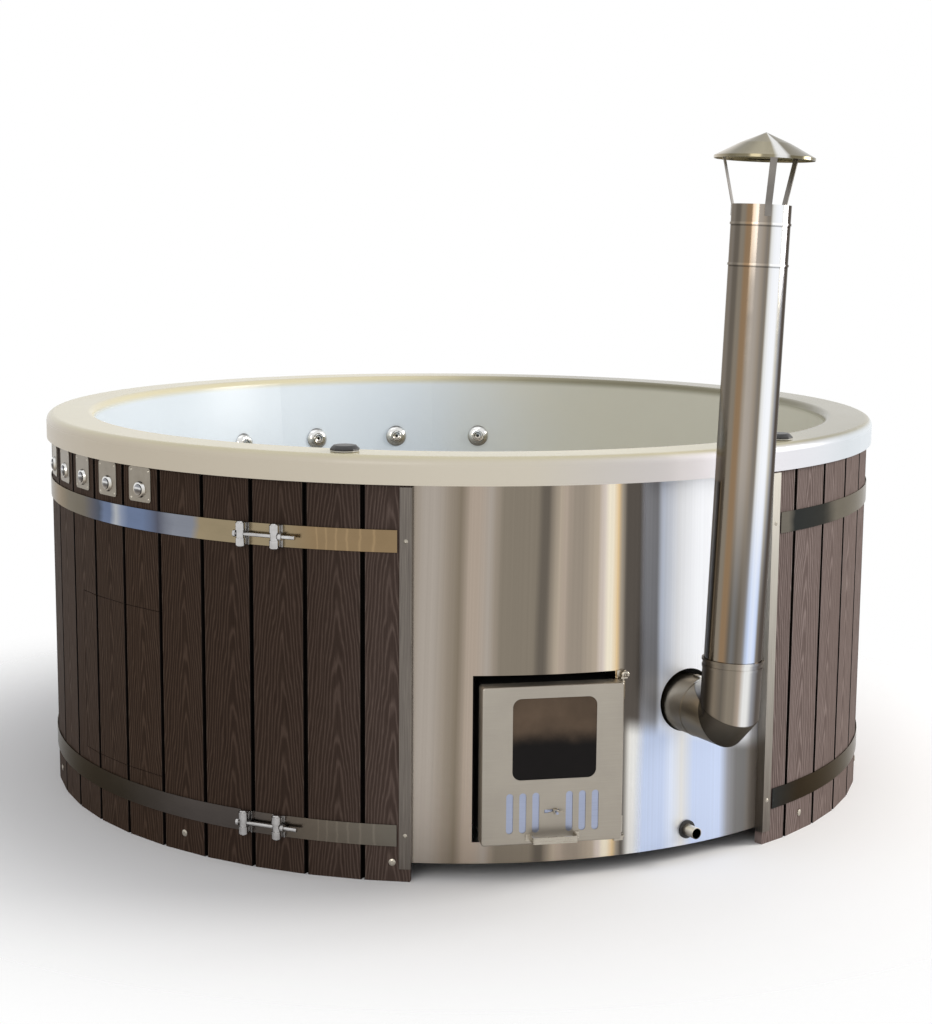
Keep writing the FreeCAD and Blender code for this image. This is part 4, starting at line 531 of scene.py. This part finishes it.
# painted shadow under each seam and a thin painted highlight just above it
seam_shadow = (seam_height.math("COMPARE", LOW_SEAM, SHADOW_HALF)
               + seam_height.math("COMPARE", HIGH_SEAM, SHADOW_HALF))
seam_shine = (seam_height.math("COMPARE", LOW_SEAM + SEAM_LIFT, SHINE_HALF)
              + seam_height.math("COMPARE", HIGH_SEAM + SEAM_LIFT, SHINE_HALF))
chimney_change = chimney_lines * 0.4 - seam_shadow * 0.5 + seam_shine * 0.35
chimney_finish.set(Base_Color=tinted(chimney_finish, chimney_bands, chimney_change),
                   Roughness=chimney_finish.noise(30.0, 2.0) * 0.1 + 0.08)
chimney_finish.relief(chimney_lines, 0.0003, 0.2)
wear(chimney_finish, "chimney_pipe", "cap_collar")
print("chimney finish done")

# %% [markdown]
# ## Rain cap
# The rain cap is spun from the same sheet. A cone mirrors in wedges, so its painted reflection bands follow
# the angle round its own tip, with one bright wedge as a painted highlight. Its legs are plain strip with a
# dull grain.

# %% Cap and leg finishes
CONE_TOP = 1.669
KHAKI, MOSS = tone(144, 136, 112), tone(112, 105, 84)
cone_place = flue_foot + flue_side * ((CONE_TOP - FLUE_LEVEL) * FLUE_SLANT)

cone_finish = Finish("cap_steel", Metallic=1.0, Roughness=0.16)
cone_angle = (cone_finish.x - cone_place.x).math("ARCTAN2", cone_place.y - cone_finish.y)
cone_lines = streaked(cone_finish, cone_angle, 6.0, 0.4)
# painted reflections, with one bright wedge as a painted highlight
cone_bands = cone_finish.ramp(
    cone_angle / math.tau + 0.5 + cone_lines * 0.01,
    (0.0, KHAKI), (0.23, STRAW), (0.31, MOSS), (0.45, KHAKI), (0.464, BRIGHT), (0.489, BRIGHT),
    (0.504, MOSS), (0.61, MOSS), (0.70, KHAKI), (1.0, KHAKI))
cone_finish.set(Base_Color=tinted(cone_finish, cone_bands, cone_lines * 0.5),
                Roughness=cone_finish.noise(60.0, 2.0) * 0.12 + 0.1)
wear(cone_finish, "cap_cone")

leg_finish = Finish("leg_steel", Metallic=1.0, Roughness=0.3)
leg_grain = leg_finish.noise(16.0, 3.0)
leg_finish.set(Base_Color=leg_finish.ramp(leg_grain, (0.3, tone(112, 108, 104)), (0.7, tone(140, 135, 129))),
               Roughness=leg_grain * 0.2 + 0.22)
wear(leg_finish, "cap_legs")
print("cap and leg finishes done")

# %% [markdown]
# ## Straps
# The straps are polished band steel. They mirror in patches along their length, so their painted reflection
# tones are listed by degrees round the tub, from the front panel's middle. Left of the panel a row of painted
# glints stands wider apart towards the trim.

# %% Strap finishes
GLINT_START, GLINT_RATE, GLINT_SPACING = 34.84, 0.264, 0.132
GLINT_ROOT, GLINT_SHIFT = 1.061, 1.03
GLINT_ROW_MIDDLE, GLINT_ROW_HALF = 0.4131, 0.0118


def strap_finish(name, *tones):
    """Polished band steel: painted reflection tones that drift along its length, a row of painted glints,
    soft ripples and long hair lines.
    """
    finish = Finish(name, Metallic=1.0, Roughness=0.18, Specular_Tint=(0.66, 0.63, 0.58, 1))
    along = finish.x.math("ARCTAN2", -finish.y)
    ripple = finish.noise(1.0, 2.0, finish.joined(along * 14.0, finish.z * 26.0, 0.0))
    hair = finish.noise(1.0, 3.0, finish.joined(along * 8.0, finish.z * 700.0, 0.0))
    drift = along / math.tau + 0.5 + (ripple - 0.5) * 0.003
    crowding = (along * math.degrees(1) + GLINT_START) * GLINT_RATE + GLINT_ROOT
    crowding = crowding.math("MAXIMUM", 0.0).math("SQRT") - GLINT_SHIFT
    wave = ((crowding / GLINT_SPACING + (ripple - 0.5) * 0.5) * math.tau).math("COSINE")
    glints = wave.math("MAXIMUM", 0.0).math("POWER", 6.0)
    # where the row of painted glints lies, left of the panel
    glint_row = drift.math("COMPARE", GLINT_ROW_MIDDLE, GLINT_ROW_HALF)
    change = (hair - 0.5) * 0.1 + (ripple - 0.5) * 0.2 + glints * glint_row * 0.28
    colours = finish.ramp(drift, *[(turn / 360 + 0.5, colour) for turn, colour in tones])
    return finish.set(Base_Color=tinted(finish, colours, change), Roughness=hair * 0.12 + 0.13)


OLIVE, FAWN, TAUPE = tone(138, 117, 88), tone(146, 132, 106), tone(112, 107, 98)
DUSK, DENIM, ASH = tone(84, 87, 100), tone(104, 118, 146), tone(128, 132, 142)
COAL, UMBER, GLINT = tone(46, 49, 50), tone(46, 38, 29), tone(212, 216, 222)
PEAT, MUSK = tone(62, 56, 48), tone(106, 97, 86)
# painted reflections: tones by degrees round the tub
wear(strap_finish(
    "upper_strap_steel", (-180, TAUPE), (-95, UMBER), (-86, OLIVE), (-80, TAUPE), (-75, TAUPE), (-71.5, DUSK),
    (-70.5, COAL), (-70, DENIM), (-67, DENIM), (-66.4, COAL), (-65.9, GLINT), (-65.1, GLINT), (-64.6, DENIM),
    (-59.3, DENIM), (-58.7, DUSK), (-56.7, DUSK), (-56, ASH), (-51.7, ASH), (-51.5, GLINT), (-51.3, GLINT),
    (-51, FAWN), (-40, FAWN), (-35.5, OLIVE), (-25, OLIVE), (25, TAUPE), (27.9, TAUPE), (28.1, COAL),
    (36, COAL), (39, TAUPE), (52, TAUPE), (180, TAUPE)), "upper_strap")
wear(strap_finish(
    "lower_strap_steel", (-180, DUSK), (-90, UMBER), (-78, UMBER), (-66, PEAT), (-53, SOOT), (-44, SOOT),
    (-36, MUSK), (-25, TAUPE), (25, COAL), (31, UMBER), (60, UMBER), (75, DUSK), (180, DUSK)), "lower_strap")
print("strap finishes done")

# %% [markdown]
# ## Satin steel
# Door, trims, plates and small fittings are brushed: one grey with hair lines along the direction in which
# the belt ran. The hair lines are noise squeezed across that direction; they tint the colour and the
# roughness. The trims run upright, and the right one carries a painted reflection that grows lighter towards
# its top.

# %% Satin finishes
def satin(name, dark, bright, squeeze, roughness):
    """Brushed steel with hair lines drawn out along the axis that is squeezed least."""
    finish = Finish(name, Metallic=1.0, Roughness=roughness)
    hair = finish.noise(1.0, 3.0, finish.stretched(squeeze))
    cloud = finish.noise(7.0, 3.0)
    tint = finish.ramp(hair * 0.4 + cloud * 0.6, (0.3, dark), (0.7, bright))
    finish.set(Base_Color=tint, Roughness=hair * 0.12 + (roughness - 0.06))
    return finish.relief(hair, 0.0001, 0.15)


LEVEL_HAIR = (12, 12, 1100)
UPRIGHT_HAIR = (900, 900, 10)
EVEN_GRAIN = (60, 60, 60)
SHORT_HAIR = (40, 40, 400)
wear(satin("door_steel", tone(158, 151, 141), tone(174, 167, 155), LEVEL_HAIR, 0.4), "door_panel")
trim_finish = Finish("trim_steel", Metallic=1.0, Roughness=0.3)
trim_hair = trim_finish.noise(1.0, 3.0, trim_finish.stretched(UPRIGHT_HAIR))
# painted reflection: the right trim grows lighter towards its top
trim_painted_light = trim_hair * 0.4 + trim_finish.x.math("GREATER_THAN", 0.0) * trim_finish.z * 0.8
trim_finish.set(Base_Color=trim_finish.ramp(trim_painted_light, (0.1, SOOT), (0.3, SMOKE), (0.9, PEARL)),
                Roughness=trim_hair * 0.12 + 0.24)
trim_finish.relief(trim_hair, 0.0001, 0.15)
wear(trim_finish, "edge_trims")
wear(satin("clamp_steel", tone(158, 155, 153), tone(204, 203, 202), EVEN_GRAIN, 0.18),
     "strap_lugs", "clamp_bolts", "clamp_barrels")
wear(satin("stub_steel", tone(138, 128, 112), tone(176, 164, 144), LEVEL_HAIR, 0.34), "flue_stub")
fitting_finish = satin("fitting_steel", tone(168, 161, 148), tone(194, 187, 174), SHORT_HAIR, 0.28)
wear(fitting_finish, "door_handle", "hinge_rod", "hinge_brackets", "door_knuckles", "glass_retainer",
     "slide_guides", "trim_screws", "plate_screws", "screw_covers", "circulation_pipes")
wear(satin("slide_steel", tone(150, 158, 182), tone(172, 180, 202), LEVEL_HAIR, 0.3), "air_slide")
wear(satin("plate_steel", tone(130, 122, 110), tone(152, 145, 133), EVEN_GRAIN, 0.34), "control_plates")
print("satin finishes done")

# %% [markdown]
# ## Plastic, rubber and paint
# Pump and knobs are black plastic, the hidden pipes are pale plastic, the drain's grommet is rubber, the
# stove is painted and its grate is cast iron. These all share one formula: two near tones and fine pimples.

# %% Speckled finishes
def speckled(name, dark, bright, scale, roughness, depth):
    """A plain moulded or painted surface with fine pimples."""
    finish = Finish(name, Roughness=roughness)
    specks = finish.noise(scale, 4.0)
    finish.set(Base_Color=finish.ramp(specks, (0.3, dark), (0.7, bright)),
               Roughness=specks * 0.2 + (roughness - 0.1))
    return finish.relief(specks, depth, 0.6)


black_finish = speckled("black_plastic", tone(26, 25, 25), tone(42, 41, 40), 300.0, 0.38, 0.0003)
wear(black_finish, "pump")
wear(speckled("rubber_black", tone(20, 20, 20), tone(36, 35, 34), 420.0, 0.6, 0.0003), "drain_grommet")
wear(speckled("stove_paint", tone(26, 25, 24), tone(40, 38, 36), 160.0, 0.65, 0.0004), "stove_body")
wear(speckled("grate_iron", tone(30, 28, 27), tone(58, 54, 50), 220.0, 0.75, 0.0008), "fire_grate")
pipe_finish = speckled("pipe_plastic", tone(196, 194, 188), tone(214, 212, 206), 240.0, 0.42, 0.0002)
wear(pipe_finish, "jet_bodies", "water_manifold", "air_manifold", "air_stubs", "air_valves", "pump_pipes",
     "drain_sump")
print("speckled finishes done")

# %% [markdown]
# ## Drain spigot
# The spigot is a short steel pipe with painted light, bright on top and dark below, and its bore is painted
# black as shade. Whether a point lies in the bore follows from its distance to the pipe's axis.

# %% Spigot finish
DRAIN_AZIMUTH, DRAIN_LEVEL, DRAIN_BORE = math.radians(11.7), 0.076, 0.0122
spigot_finish = Finish("spigot_steel", Metallic=1.0, Roughness=0.35)
off_side = spigot_finish.x * math.cos(DRAIN_AZIMUTH) + spigot_finish.y * math.sin(DRAIN_AZIMUTH)
off_up = spigot_finish.z - DRAIN_LEVEL
# painted shade in the bore
bore_painted_shade = (off_side * off_side + off_up * off_up).math("LESS_THAN", DRAIN_BORE ** 2)
spigot_grain = spigot_finish.noise(90.0, 3.0)
# painted light: lighter on top, darker below
spigot_painted_light = off_up * 30.0 + spigot_grain * 0.2 + 0.4
spigot_tone = spigot_finish.ramp(spigot_painted_light, (0.1, SOOT), (0.4, BRONZE), (0.8, CREAM))
spigot_finish.set(Base_Color=spigot_finish.mix(bore_painted_shade, spigot_tone, tone(16, 14, 13)),
                  Roughness=spigot_grain * 0.2 + 0.25)
wear(spigot_finish, "drain_pipe")
print("spigot finish done")

# %% [markdown]
# ## Window, seal and timber
# The window is smoked brown, and blackest in its lower part, with an uneven edge between. The seal round
# the stove's mouth is braided rope: two crossing waves make the braid. The hidden frame is sawn timber.

# %% Window, seal and timber finishes
SMOKE_LOW, SMOKE_HIGH = 0.315, 0.365
BRAID_STEEP, BRAID_FLAT = 900.0, 700.0
SAWN_GRAIN = (9, 60, 90)

glass_finish = Finish("fire_glass", Roughness=0.06, Specular_IOR_Level=0.12)
soot = glass_finish.noise(14.0, 5.0)
# the window is darker towards the bottom
darker_below = glass_finish.ramp(glass_finish.z + (soot - 0.5) * 0.03, (SMOKE_LOW, 0.0), (SMOKE_HIGH, 1.0),
                              mode="EASE")
glass_tone = glass_finish.mix(darker_below, tone(19, 15, 14), tone(96, 80, 65))
glass_finish.set(Base_Color=tinted(glass_finish, glass_tone, soot - 0.5), Roughness=soot * 0.14 + 0.04)
wear(glass_finish, "door_glass")

seal_finish = Finish("rope_seal", Roughness=0.95)
strands = (seal_finish.x * BRAID_STEEP + seal_finish.z * BRAID_FLAT).math("SINE")
cross_strands = (seal_finish.z * BRAID_STEEP - seal_finish.x * BRAID_FLAT).math("SINE")
braid = strands * cross_strands
seal_finish.set(Base_Color=seal_finish.ramp(braid * 0.5 + 0.5, (0.2, tone(88, 85, 80)),
                                            (0.8, tone(140, 136, 128))))
seal_finish.relief(braid, 0.001, 0.8)
wear(seal_finish, "mouth_seal")

timber_finish = Finish("timber", Roughness=0.8)
sawn = timber_finish.noise(1.0, 4.0, timber_finish.stretched(SAWN_GRAIN))
timber_finish.set(Base_Color=timber_finish.ramp(sawn, (0.3, tone(150, 116, 76)), (0.7, tone(196, 164, 116))))
timber_finish.relief(sawn, 0.001, 0.5)
wear(timber_finish, "base_frame", "hatch_battens", "hatch_ledges")
print("window, seal and timber finishes done")

# %% [markdown]
# ## The flue elbow
# The elbow is three pieces of tube welded at mitres: a level stub, a slanted gore and an upright socket. So
# the finish first asks on which side of the two mitre planes a point lies. Stub and gore carry painted light
# by height, dark below and lighter on top, and the gore is painted darker than the stub as shade. Hair lines
# run round them, and the socket carries on the chimney's upright painted reflection bands. The welds are thin
# darker lines on the mitre planes.

# %% Elbow finish
MITRE_CUT = 0.022
HALF_MITRE = math.tan(math.radians(22.5))
ELBOW_RADIUS = 0.0665
WELD_HALF = 0.0014

elbow_finish = Finish("elbow_steel", Metallic=1.0, Roughness=0.3, Specular_Tint=(0.6, 0.58, 0.55, 1))
outward = elbow_finish.x * flue_out.x + elbow_finish.y * flue_out.y - FLUE_REACH
rise = elbow_finish.z - FLUE_LEVEL
past_stub = outward + MITRE_CUT + rise * HALF_MITRE
past_gore = rise - MITRE_CUT + outward * HALF_MITRE
on_gore = past_stub.math("GREATER_THAN", 0.0)
on_socket = past_gore.math("GREATER_THAN", 0.0)
socket_place = flue_turn(elbow_finish)
socket_lines = streaked(elbow_finish, socket_place, 60.0, 0.5)
socket_tone = elbow_finish.ramp(socket_place + socket_lines * 0.01, *round_flue(
    BRIGHT, (0.0, SOOT), (0.12, SHADE), (0.22, DRAB), (0.34, SHADE), (0.44, FLINT), (0.55, FLINT),
    (0.63, SAND), (0.70, BRIGHT), (0.77, BRIGHT), (0.84, SLATE), (0.92, SOOT), (1.0, SOOT)))
around_stub = rise / ELBOW_RADIUS * 0.5 + 0.5
# painted light: the stub lighter on top and darker below; the gore painted darker as shade
stub_painted_light = elbow_finish.ramp(
    around_stub, (0.0, tone(72, 66, 58)), (0.22, tone(122, 113, 98)), (0.55, tone(158, 147, 129)),
    (0.8, tone(170, 159, 141)), (1.0, tone(144, 134, 119)))
gore_painted_shade = elbow_finish.ramp(
    around_stub, (0.0, tone(42, 39, 36)), (0.3, tone(64, 60, 54)), (0.6, tone(88, 82, 74)))
along_stub = outward * 420.0 + rise * on_gore * 300.0
ring_hair = elbow_finish.noise(1.0, 2.0, elbow_finish.joined(along_stub, rise * 9.0, socket_place * 1.5))
weld = past_stub.math("COMPARE", 0.0, WELD_HALF) + past_gore.math("COMPARE", 0.0, WELD_HALF)
lower_tone = tinted(elbow_finish, elbow_finish.mix(on_gore, stub_painted_light, gore_painted_shade), (ring_hair - 0.5) * 0.1)
upper_tone = tinted(elbow_finish, socket_tone, socket_lines * 0.2)
elbow_colour = tinted(elbow_finish, elbow_finish.mix(on_socket, lower_tone, upper_tone), weld * -0.3)
elbow_finish.set(Base_Color=elbow_colour, Roughness=ring_hair * 0.08 + 0.26)
elbow_finish.relief(ring_hair * 0.2 - weld, 0.0003, 0.3)
wear(elbow_finish, "flue_elbow")
print("elbow finish done")

# %% [markdown]
# ## Turned pieces
# Jets, buttons and knobs are turned or moulded round an axis. On a lathe a maker cuts a profile, and in
# Blender a profile is drawn by extruding one point from place to place and then spinning it. A plane merged
# to its centre gives that first point. The profile is written in millimetres: distance from the axis, then
# height.

# %% The lathe
MERGE_DISTANCE = 0.00002


def pick(piece):
    """Leave only one piece selected and active."""
    bpy.ops.object.select_all(action="DESELECT")
    piece.select_set(True)
    bpy.context.view_layer.objects.active = piece


def lathed(name, profile, steps=40, crease=35):
    """Spin a profile round Z."""
    bpy.ops.object.select_all(action="DESELECT")
    bpy.ops.mesh.primitive_plane_add(size=0.01)
    piece = bpy.context.object
    piece.name = piece.data.name = name
    bpy.ops.object.mode_set(mode="EDIT")
    bpy.ops.mesh.select_all(action="SELECT")
    bpy.ops.mesh.merge(type="CENTER")
    points = [Vector((reach, 0, height)) / 1000 for reach, height in profile]
    bpy.ops.transform.translate(value=points[0])
    for start, end in zip(points, points[1:]):
        bpy.ops.mesh.extrude_vertices_move(TRANSFORM_OT_translate={"value": end - start})
    bpy.ops.mesh.select_all(action="SELECT")
    bpy.ops.mesh.spin(steps=steps, angle=math.tau, center=(0, 0, 0), axis=(0, 0, 1))
    bpy.ops.mesh.select_all(action="SELECT")
    bpy.ops.mesh.remove_doubles(threshold=MERGE_DISTANCE)
    bpy.ops.mesh.normals_make_consistent(inside=False)
    bpy.ops.object.mode_set(mode="OBJECT")
    bpy.ops.object.shade_smooth_by_angle(angle=math.radians(crease))
    return piece


print("lathe ready")

# %% [markdown]
# ## Dressing and placing
# A turned piece is made once, dressed and copied. Each copy is stood on its joint's axis, and its place is
# put into the mesh, so that all pieces share the frame's origin. It then stands for its CAD node and rides
# on that body.

# %% Dress, copy and place
def dress(piece, finish, other=None, where=None):
    """One finish all over, or another where a test of a face's reach and height holds."""
    for each in (finish, other):
        if each:
            piece.data.materials.append(each.material)
    for face in piece.data.polygons if where else ():
        face.material_index = int(where(face.center.xy.length * 1000, face.center.z * 1000))


def twin(piece, name):
    """A copy of a piece with a mesh of its own."""
    pick(piece)
    bpy.ops.object.duplicate(linked=False)
    bpy.context.object.name = bpy.context.object.data.name = name
    return bpy.context.object


def set_in_place(piece, place, axis):
    """Stand a piece's Z axis along an axis at a place, and put that into its mesh."""
    facing = Vector(axis).to_track_quat("Z", "Y").to_matrix().to_4x4()
    piece.matrix_world = Matrix.Translation(place) @ facing
    pick(piece)
    bpy.ops.object.transform_apply(location=True, rotation=True, scale=True)


def stand_for(piece, node, body):
    """A new piece takes the place of a CAD node."""
    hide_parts(node)
    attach(piece, body)


joints = {joint["name"]: joint for joint in frame["joints"]}
print(len(joints), "joints to place pieces by")

# %% [markdown]
# ## Massage jets
# A jet is a chromed dome on the basin's wall with a turning eye in its middle: a shallow ring that leads into
# a narrow throat. The throat and a thin groove in the eye are painted black as shade. The dome carries a
# painted reflection of the dark floor low down and the sky above, so its tone follows the height. Each dome
# and each eye is turned once and copied to its joint's place.

# %% Jets
THROAT_SHADE_RADIUS = 5.2
GROOVE_SHADE_RADII = (9.4, 10.6)
RING_TONES = ((0.0, SMOKE), (0.3, BRONZE), (0.5, PEARL), (0.72, BRIGHT), (0.86, BRIGHT), (1.0, SOOT))


def mirror_chrome(name, low, high, tones):
    """Chrome with painted reflections whose tones follow the height, from its low edge to its high one."""
    finish = Finish(name, Metallic=1.0, Roughness=0.1)
    smear = finish.noise(60.0, 3.0)
    level = (finish.z - low) / (high - low) + (smear - 0.5) * 0.1
    return finish.set(Base_Color=finish.ramp(level, *tones), Roughness=smear * 0.12 + 0.04)


JET_DOME = ((15.4, 1.0), (15.4, 12.4), (16.2, 13.4), (18.5, 13.6), (23, 12.2), (27.5, 9.4), (31, 5.6),
            (32.8, 2.4), (33, 1.0), (15.4, 1.0))
JET_EYE = ((0, 4.0), (4.6, 4.0), (4.6, 11.8), (6.6, 12.6), (9.5, 13.2), (11.5, 14.8), (13.4, 15.4),
           (14.6, 14.6), (15.0, 12.8), (15.0, 1.2), (0, 1.2))
jet_low, jet_high = (corner[2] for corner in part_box("jet_bezels"))
jet_chrome = mirror_chrome("jet_chrome", jet_low, jet_high, RING_TONES)
first_dome = lathed("jet_dome", JET_DOME)
dress(first_dome, jet_chrome)
first_eye = lathed("jet_eye", JET_EYE)
# the throat and a thin groove in the eye are painted black as shade
dress(first_eye, jet_chrome, black_finish,
      lambda reach, height: reach < THROAT_SHADE_RADIUS or GROOVE_SHADE_RADII[0] < reach < GROOVE_SHADE_RADII[1])
domes = []
for number in range(1, 5):
    joint = joints[f"nozzle_{number}_turn"]
    dome, eye = twin(first_dome, f"jet_dome_{number}"), twin(first_eye, f"jet_eye_{number}")
    for piece in (dome, eye):
        set_in_place(piece, joint["pos_m"], joint["axis"])
    stand_for(eye, f"jet_nozzle_{number}", f"nozzle_{number}")
    domes.append(dome)
bpy.data.objects.remove(first_dome)
bpy.data.objects.remove(first_eye)
pick(domes[0])
for dome in domes:
    dome.select_set(True)
bpy.ops.object.join()
domes[0].name = domes[0].data.name = "jet_domes"
stand_for(domes[0], "jet_bezels", "tub")
print("jets:", len(domes), "domes and eyes")

# %% [markdown]
# ## Push buttons
# Each control plate has a domed chrome button in a bright ring. The button's edge is painted black as the
# shade of the gap between them, and both carry painted reflections that follow the height. The button's axis
# lies on a radius of the tub, so its joint's axis and the front of its CAD solid say where the dome goes.

# %% Buttons
DOME_TONES = ((0.0, PEARL), (0.3, SMOKE), (0.42, SOOT), (0.52, LEAD), (0.6, BRIGHT), (0.68, SLATE),
              (1.0, LEAD))
BUTTON_DOME = ((0, -12), (13, -12), (13, -3.4), (12.6, -2.4), (11.2, -1.6), (8.5, -0.8), (4.5, -0.2), (0, 0))
GAP_SHADE_EDGE = 12.2
button_low, button_high = (corner[2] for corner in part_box("button_housings"))
button_chrome = mirror_chrome("button_chrome", button_low, button_high, RING_TONES)
dome_chrome = mirror_chrome("dome_chrome", button_low, button_high, DOME_TONES)
wear(button_chrome, "button_housings")
first_button = lathed("button_dome", BUTTON_DOME)
# the button's edge is painted black as the shade of the gap round it
dress(first_button, dome_chrome, black_finish, lambda reach, height: reach > GAP_SHADE_EDGE)
for number in range(1, 6):
    outwards = -Vector(joints[f"button_{number}_press"]["axis"])
    front = max(vertex.co.dot(outwards) for vertex in nodes[f"push_button_{number}"].data.vertices)
    low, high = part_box(f"push_button_{number}")
    button = twin(first_button, f"button_dome_{number}")
    set_in_place(button, outwards * front + Vector((0, 0, (low[2] + high[2]) / 2)), outwards)
    stand_for(button, f"push_button_{number}", f"button_{number}")
bpy.data.objects.remove(first_button)
print("buttons: 5 domes at height", round((button_low + button_high) / 2, 3))

# %% [markdown]
# ## Air knobs
# The two air knobs on the rim are low black caps with flat sides and a wide chamfer, on a pale foot ring.
# Spinning the profile in ten steps gives the flats, and the faces near the foot take the pale plastic.

# %% Knobs
KNOB_CAP = ((0, -39.5), (8, -39.5), (8, 0.6), (31, 0.6), (33.4, 1.2), (33.4, 3.4), (34, 3.8), (34, 7.0),
            (33, 8.0), (26.5, 13.8), (25, 14.6), (0, 14.9))
KNOB_FLATS = 10
FOOT_RING = (0.2, 3.6)
first_knob = lathed("knob_cap", KNOB_CAP, steps=KNOB_FLATS, crease=20)
pick(first_knob)
knob_bevel = first_knob.modifiers.new("flat_edges", "BEVEL")
knob_bevel.width = 0.0008
knob_bevel.segments = 2
knob_bevel.limit_method = "ANGLE"
knob_bevel.angle_limit = math.radians(25)
bpy.ops.object.modifier_apply(modifier=knob_bevel.name)
dress(first_knob, black_finish, pipe_finish, lambda reach, height: FOOT_RING[0] < height < FOOT_RING[1])
for side in ("left", "right"):
    joint = joints[f"{side}_air_turn"]
    knob = twin(first_knob, f"knob_cap_{side}")
    set_in_place(knob, joint["pos_m"], joint["axis"])
    stand_for(knob, f"air_knob_{side}", f"{side}_air_knob")
bpy.data.objects.remove(first_knob)
print("knobs: 2 caps of", len(knob.data.polygons), "faces")

# %% [markdown]
# ## Wing nut
# A wing nut is a small cast cone with two ears that lean outwards and get thinner. An ear starts as a small
# block; its outer face is extruded three times, each time higher and smaller, and a subdivision rounds it
# off.

# %% Wing nut hub
HUB = ((3.3, 0.4), (6.6, 0.4), (7.0, 1.0), (6.6, 5.0), (5.6, 8.4), (5.0, 9.0), (3.3, 9.0), (3.3, 0.4))
hub = lathed("wing_hub", HUB)
dress(hub, fitting_finish)
print("hub:", len(hub.data.polygons), "faces")

# %% Wing nut ear
EAR_STEPS = (((4.0, 0, 1.6), (1, 0.95, 1.1)), ((4.2, 0, 1.6), (1, 0.85, 0.95)),
             ((2.4, 0, 0.2), (1, 0.6, 0.55)))
bpy.ops.object.select_all(action="DESELECT")
bpy.ops.mesh.primitive_cube_add(size=0.001, location=(0.0065, 0, 0.0062), scale=(5, 2.8, 5.6))
ear = bpy.context.object
ear.name = ear.data.name = "wing_ear"
bpy.ops.object.transform_apply(location=True, rotation=True, scale=True)
bpy.ops.object.mode_set(mode="EDIT")
bpy.ops.mesh.select_all(action="DESELECT")
bpy.ops.object.mode_set(mode="OBJECT")
for face in ear.data.polygons:
    face.select = face.normal.x > 0.9
bpy.ops.object.mode_set(mode="EDIT")
bpy.ops.mesh.select_mode(type="FACE")
for move, shrink in EAR_STEPS:
    bpy.ops.mesh.extrude_region_move(TRANSFORM_OT_translate={"value": Vector(move) / 1000})
    bpy.ops.transform.resize(value=shrink)
bpy.ops.object.mode_set(mode="OBJECT")
rounding = ear.modifiers.new("rounding", "SUBSURF")
rounding.levels = rounding.render_levels = 2
bpy.ops.object.modifier_apply(modifier=rounding.name)
bpy.ops.object.shade_smooth()
dress(ear, fitting_finish)
print("ear:", len(ear.data.polygons), "faces")

# %% Wing nut in place
other_ear = twin(ear, "wing_ear_twin")
other_ear.matrix_world = Matrix.Rotation(math.pi, 4, "Z")
bpy.ops.object.transform_apply(location=True, rotation=True, scale=True)
pick(hub)
ear.select_set(True)
other_ear.select_set(True)
bpy.ops.object.join()
hub.name = hub.data.name = "wing_nut_cast"
outwards = Vector(joints["wing_nut_turn"]["axis"])
middle = Vector(joints["wing_nut_turn"]["pos_m"])
back = min(vertex.co.dot(outwards) for vertex in nodes["wing_nut"].data.vertices)
middle += outwards * (back - middle.dot(outwards))
along_door = Vector((0, 0, 1)).cross(outwards)
facing = Matrix((along_door, (0, 0, 1), outwards)).transposed().to_4x4()
hub.matrix_world = Matrix.Translation(middle) @ facing
pick(hub)
bpy.ops.object.transform_apply(location=True, rotation=True, scale=True)
stand_for(hub, "wing_nut", "wing_nut")
print("wing nut:", [round(value * 1000, 1) for value in hub.dimensions], "mm")
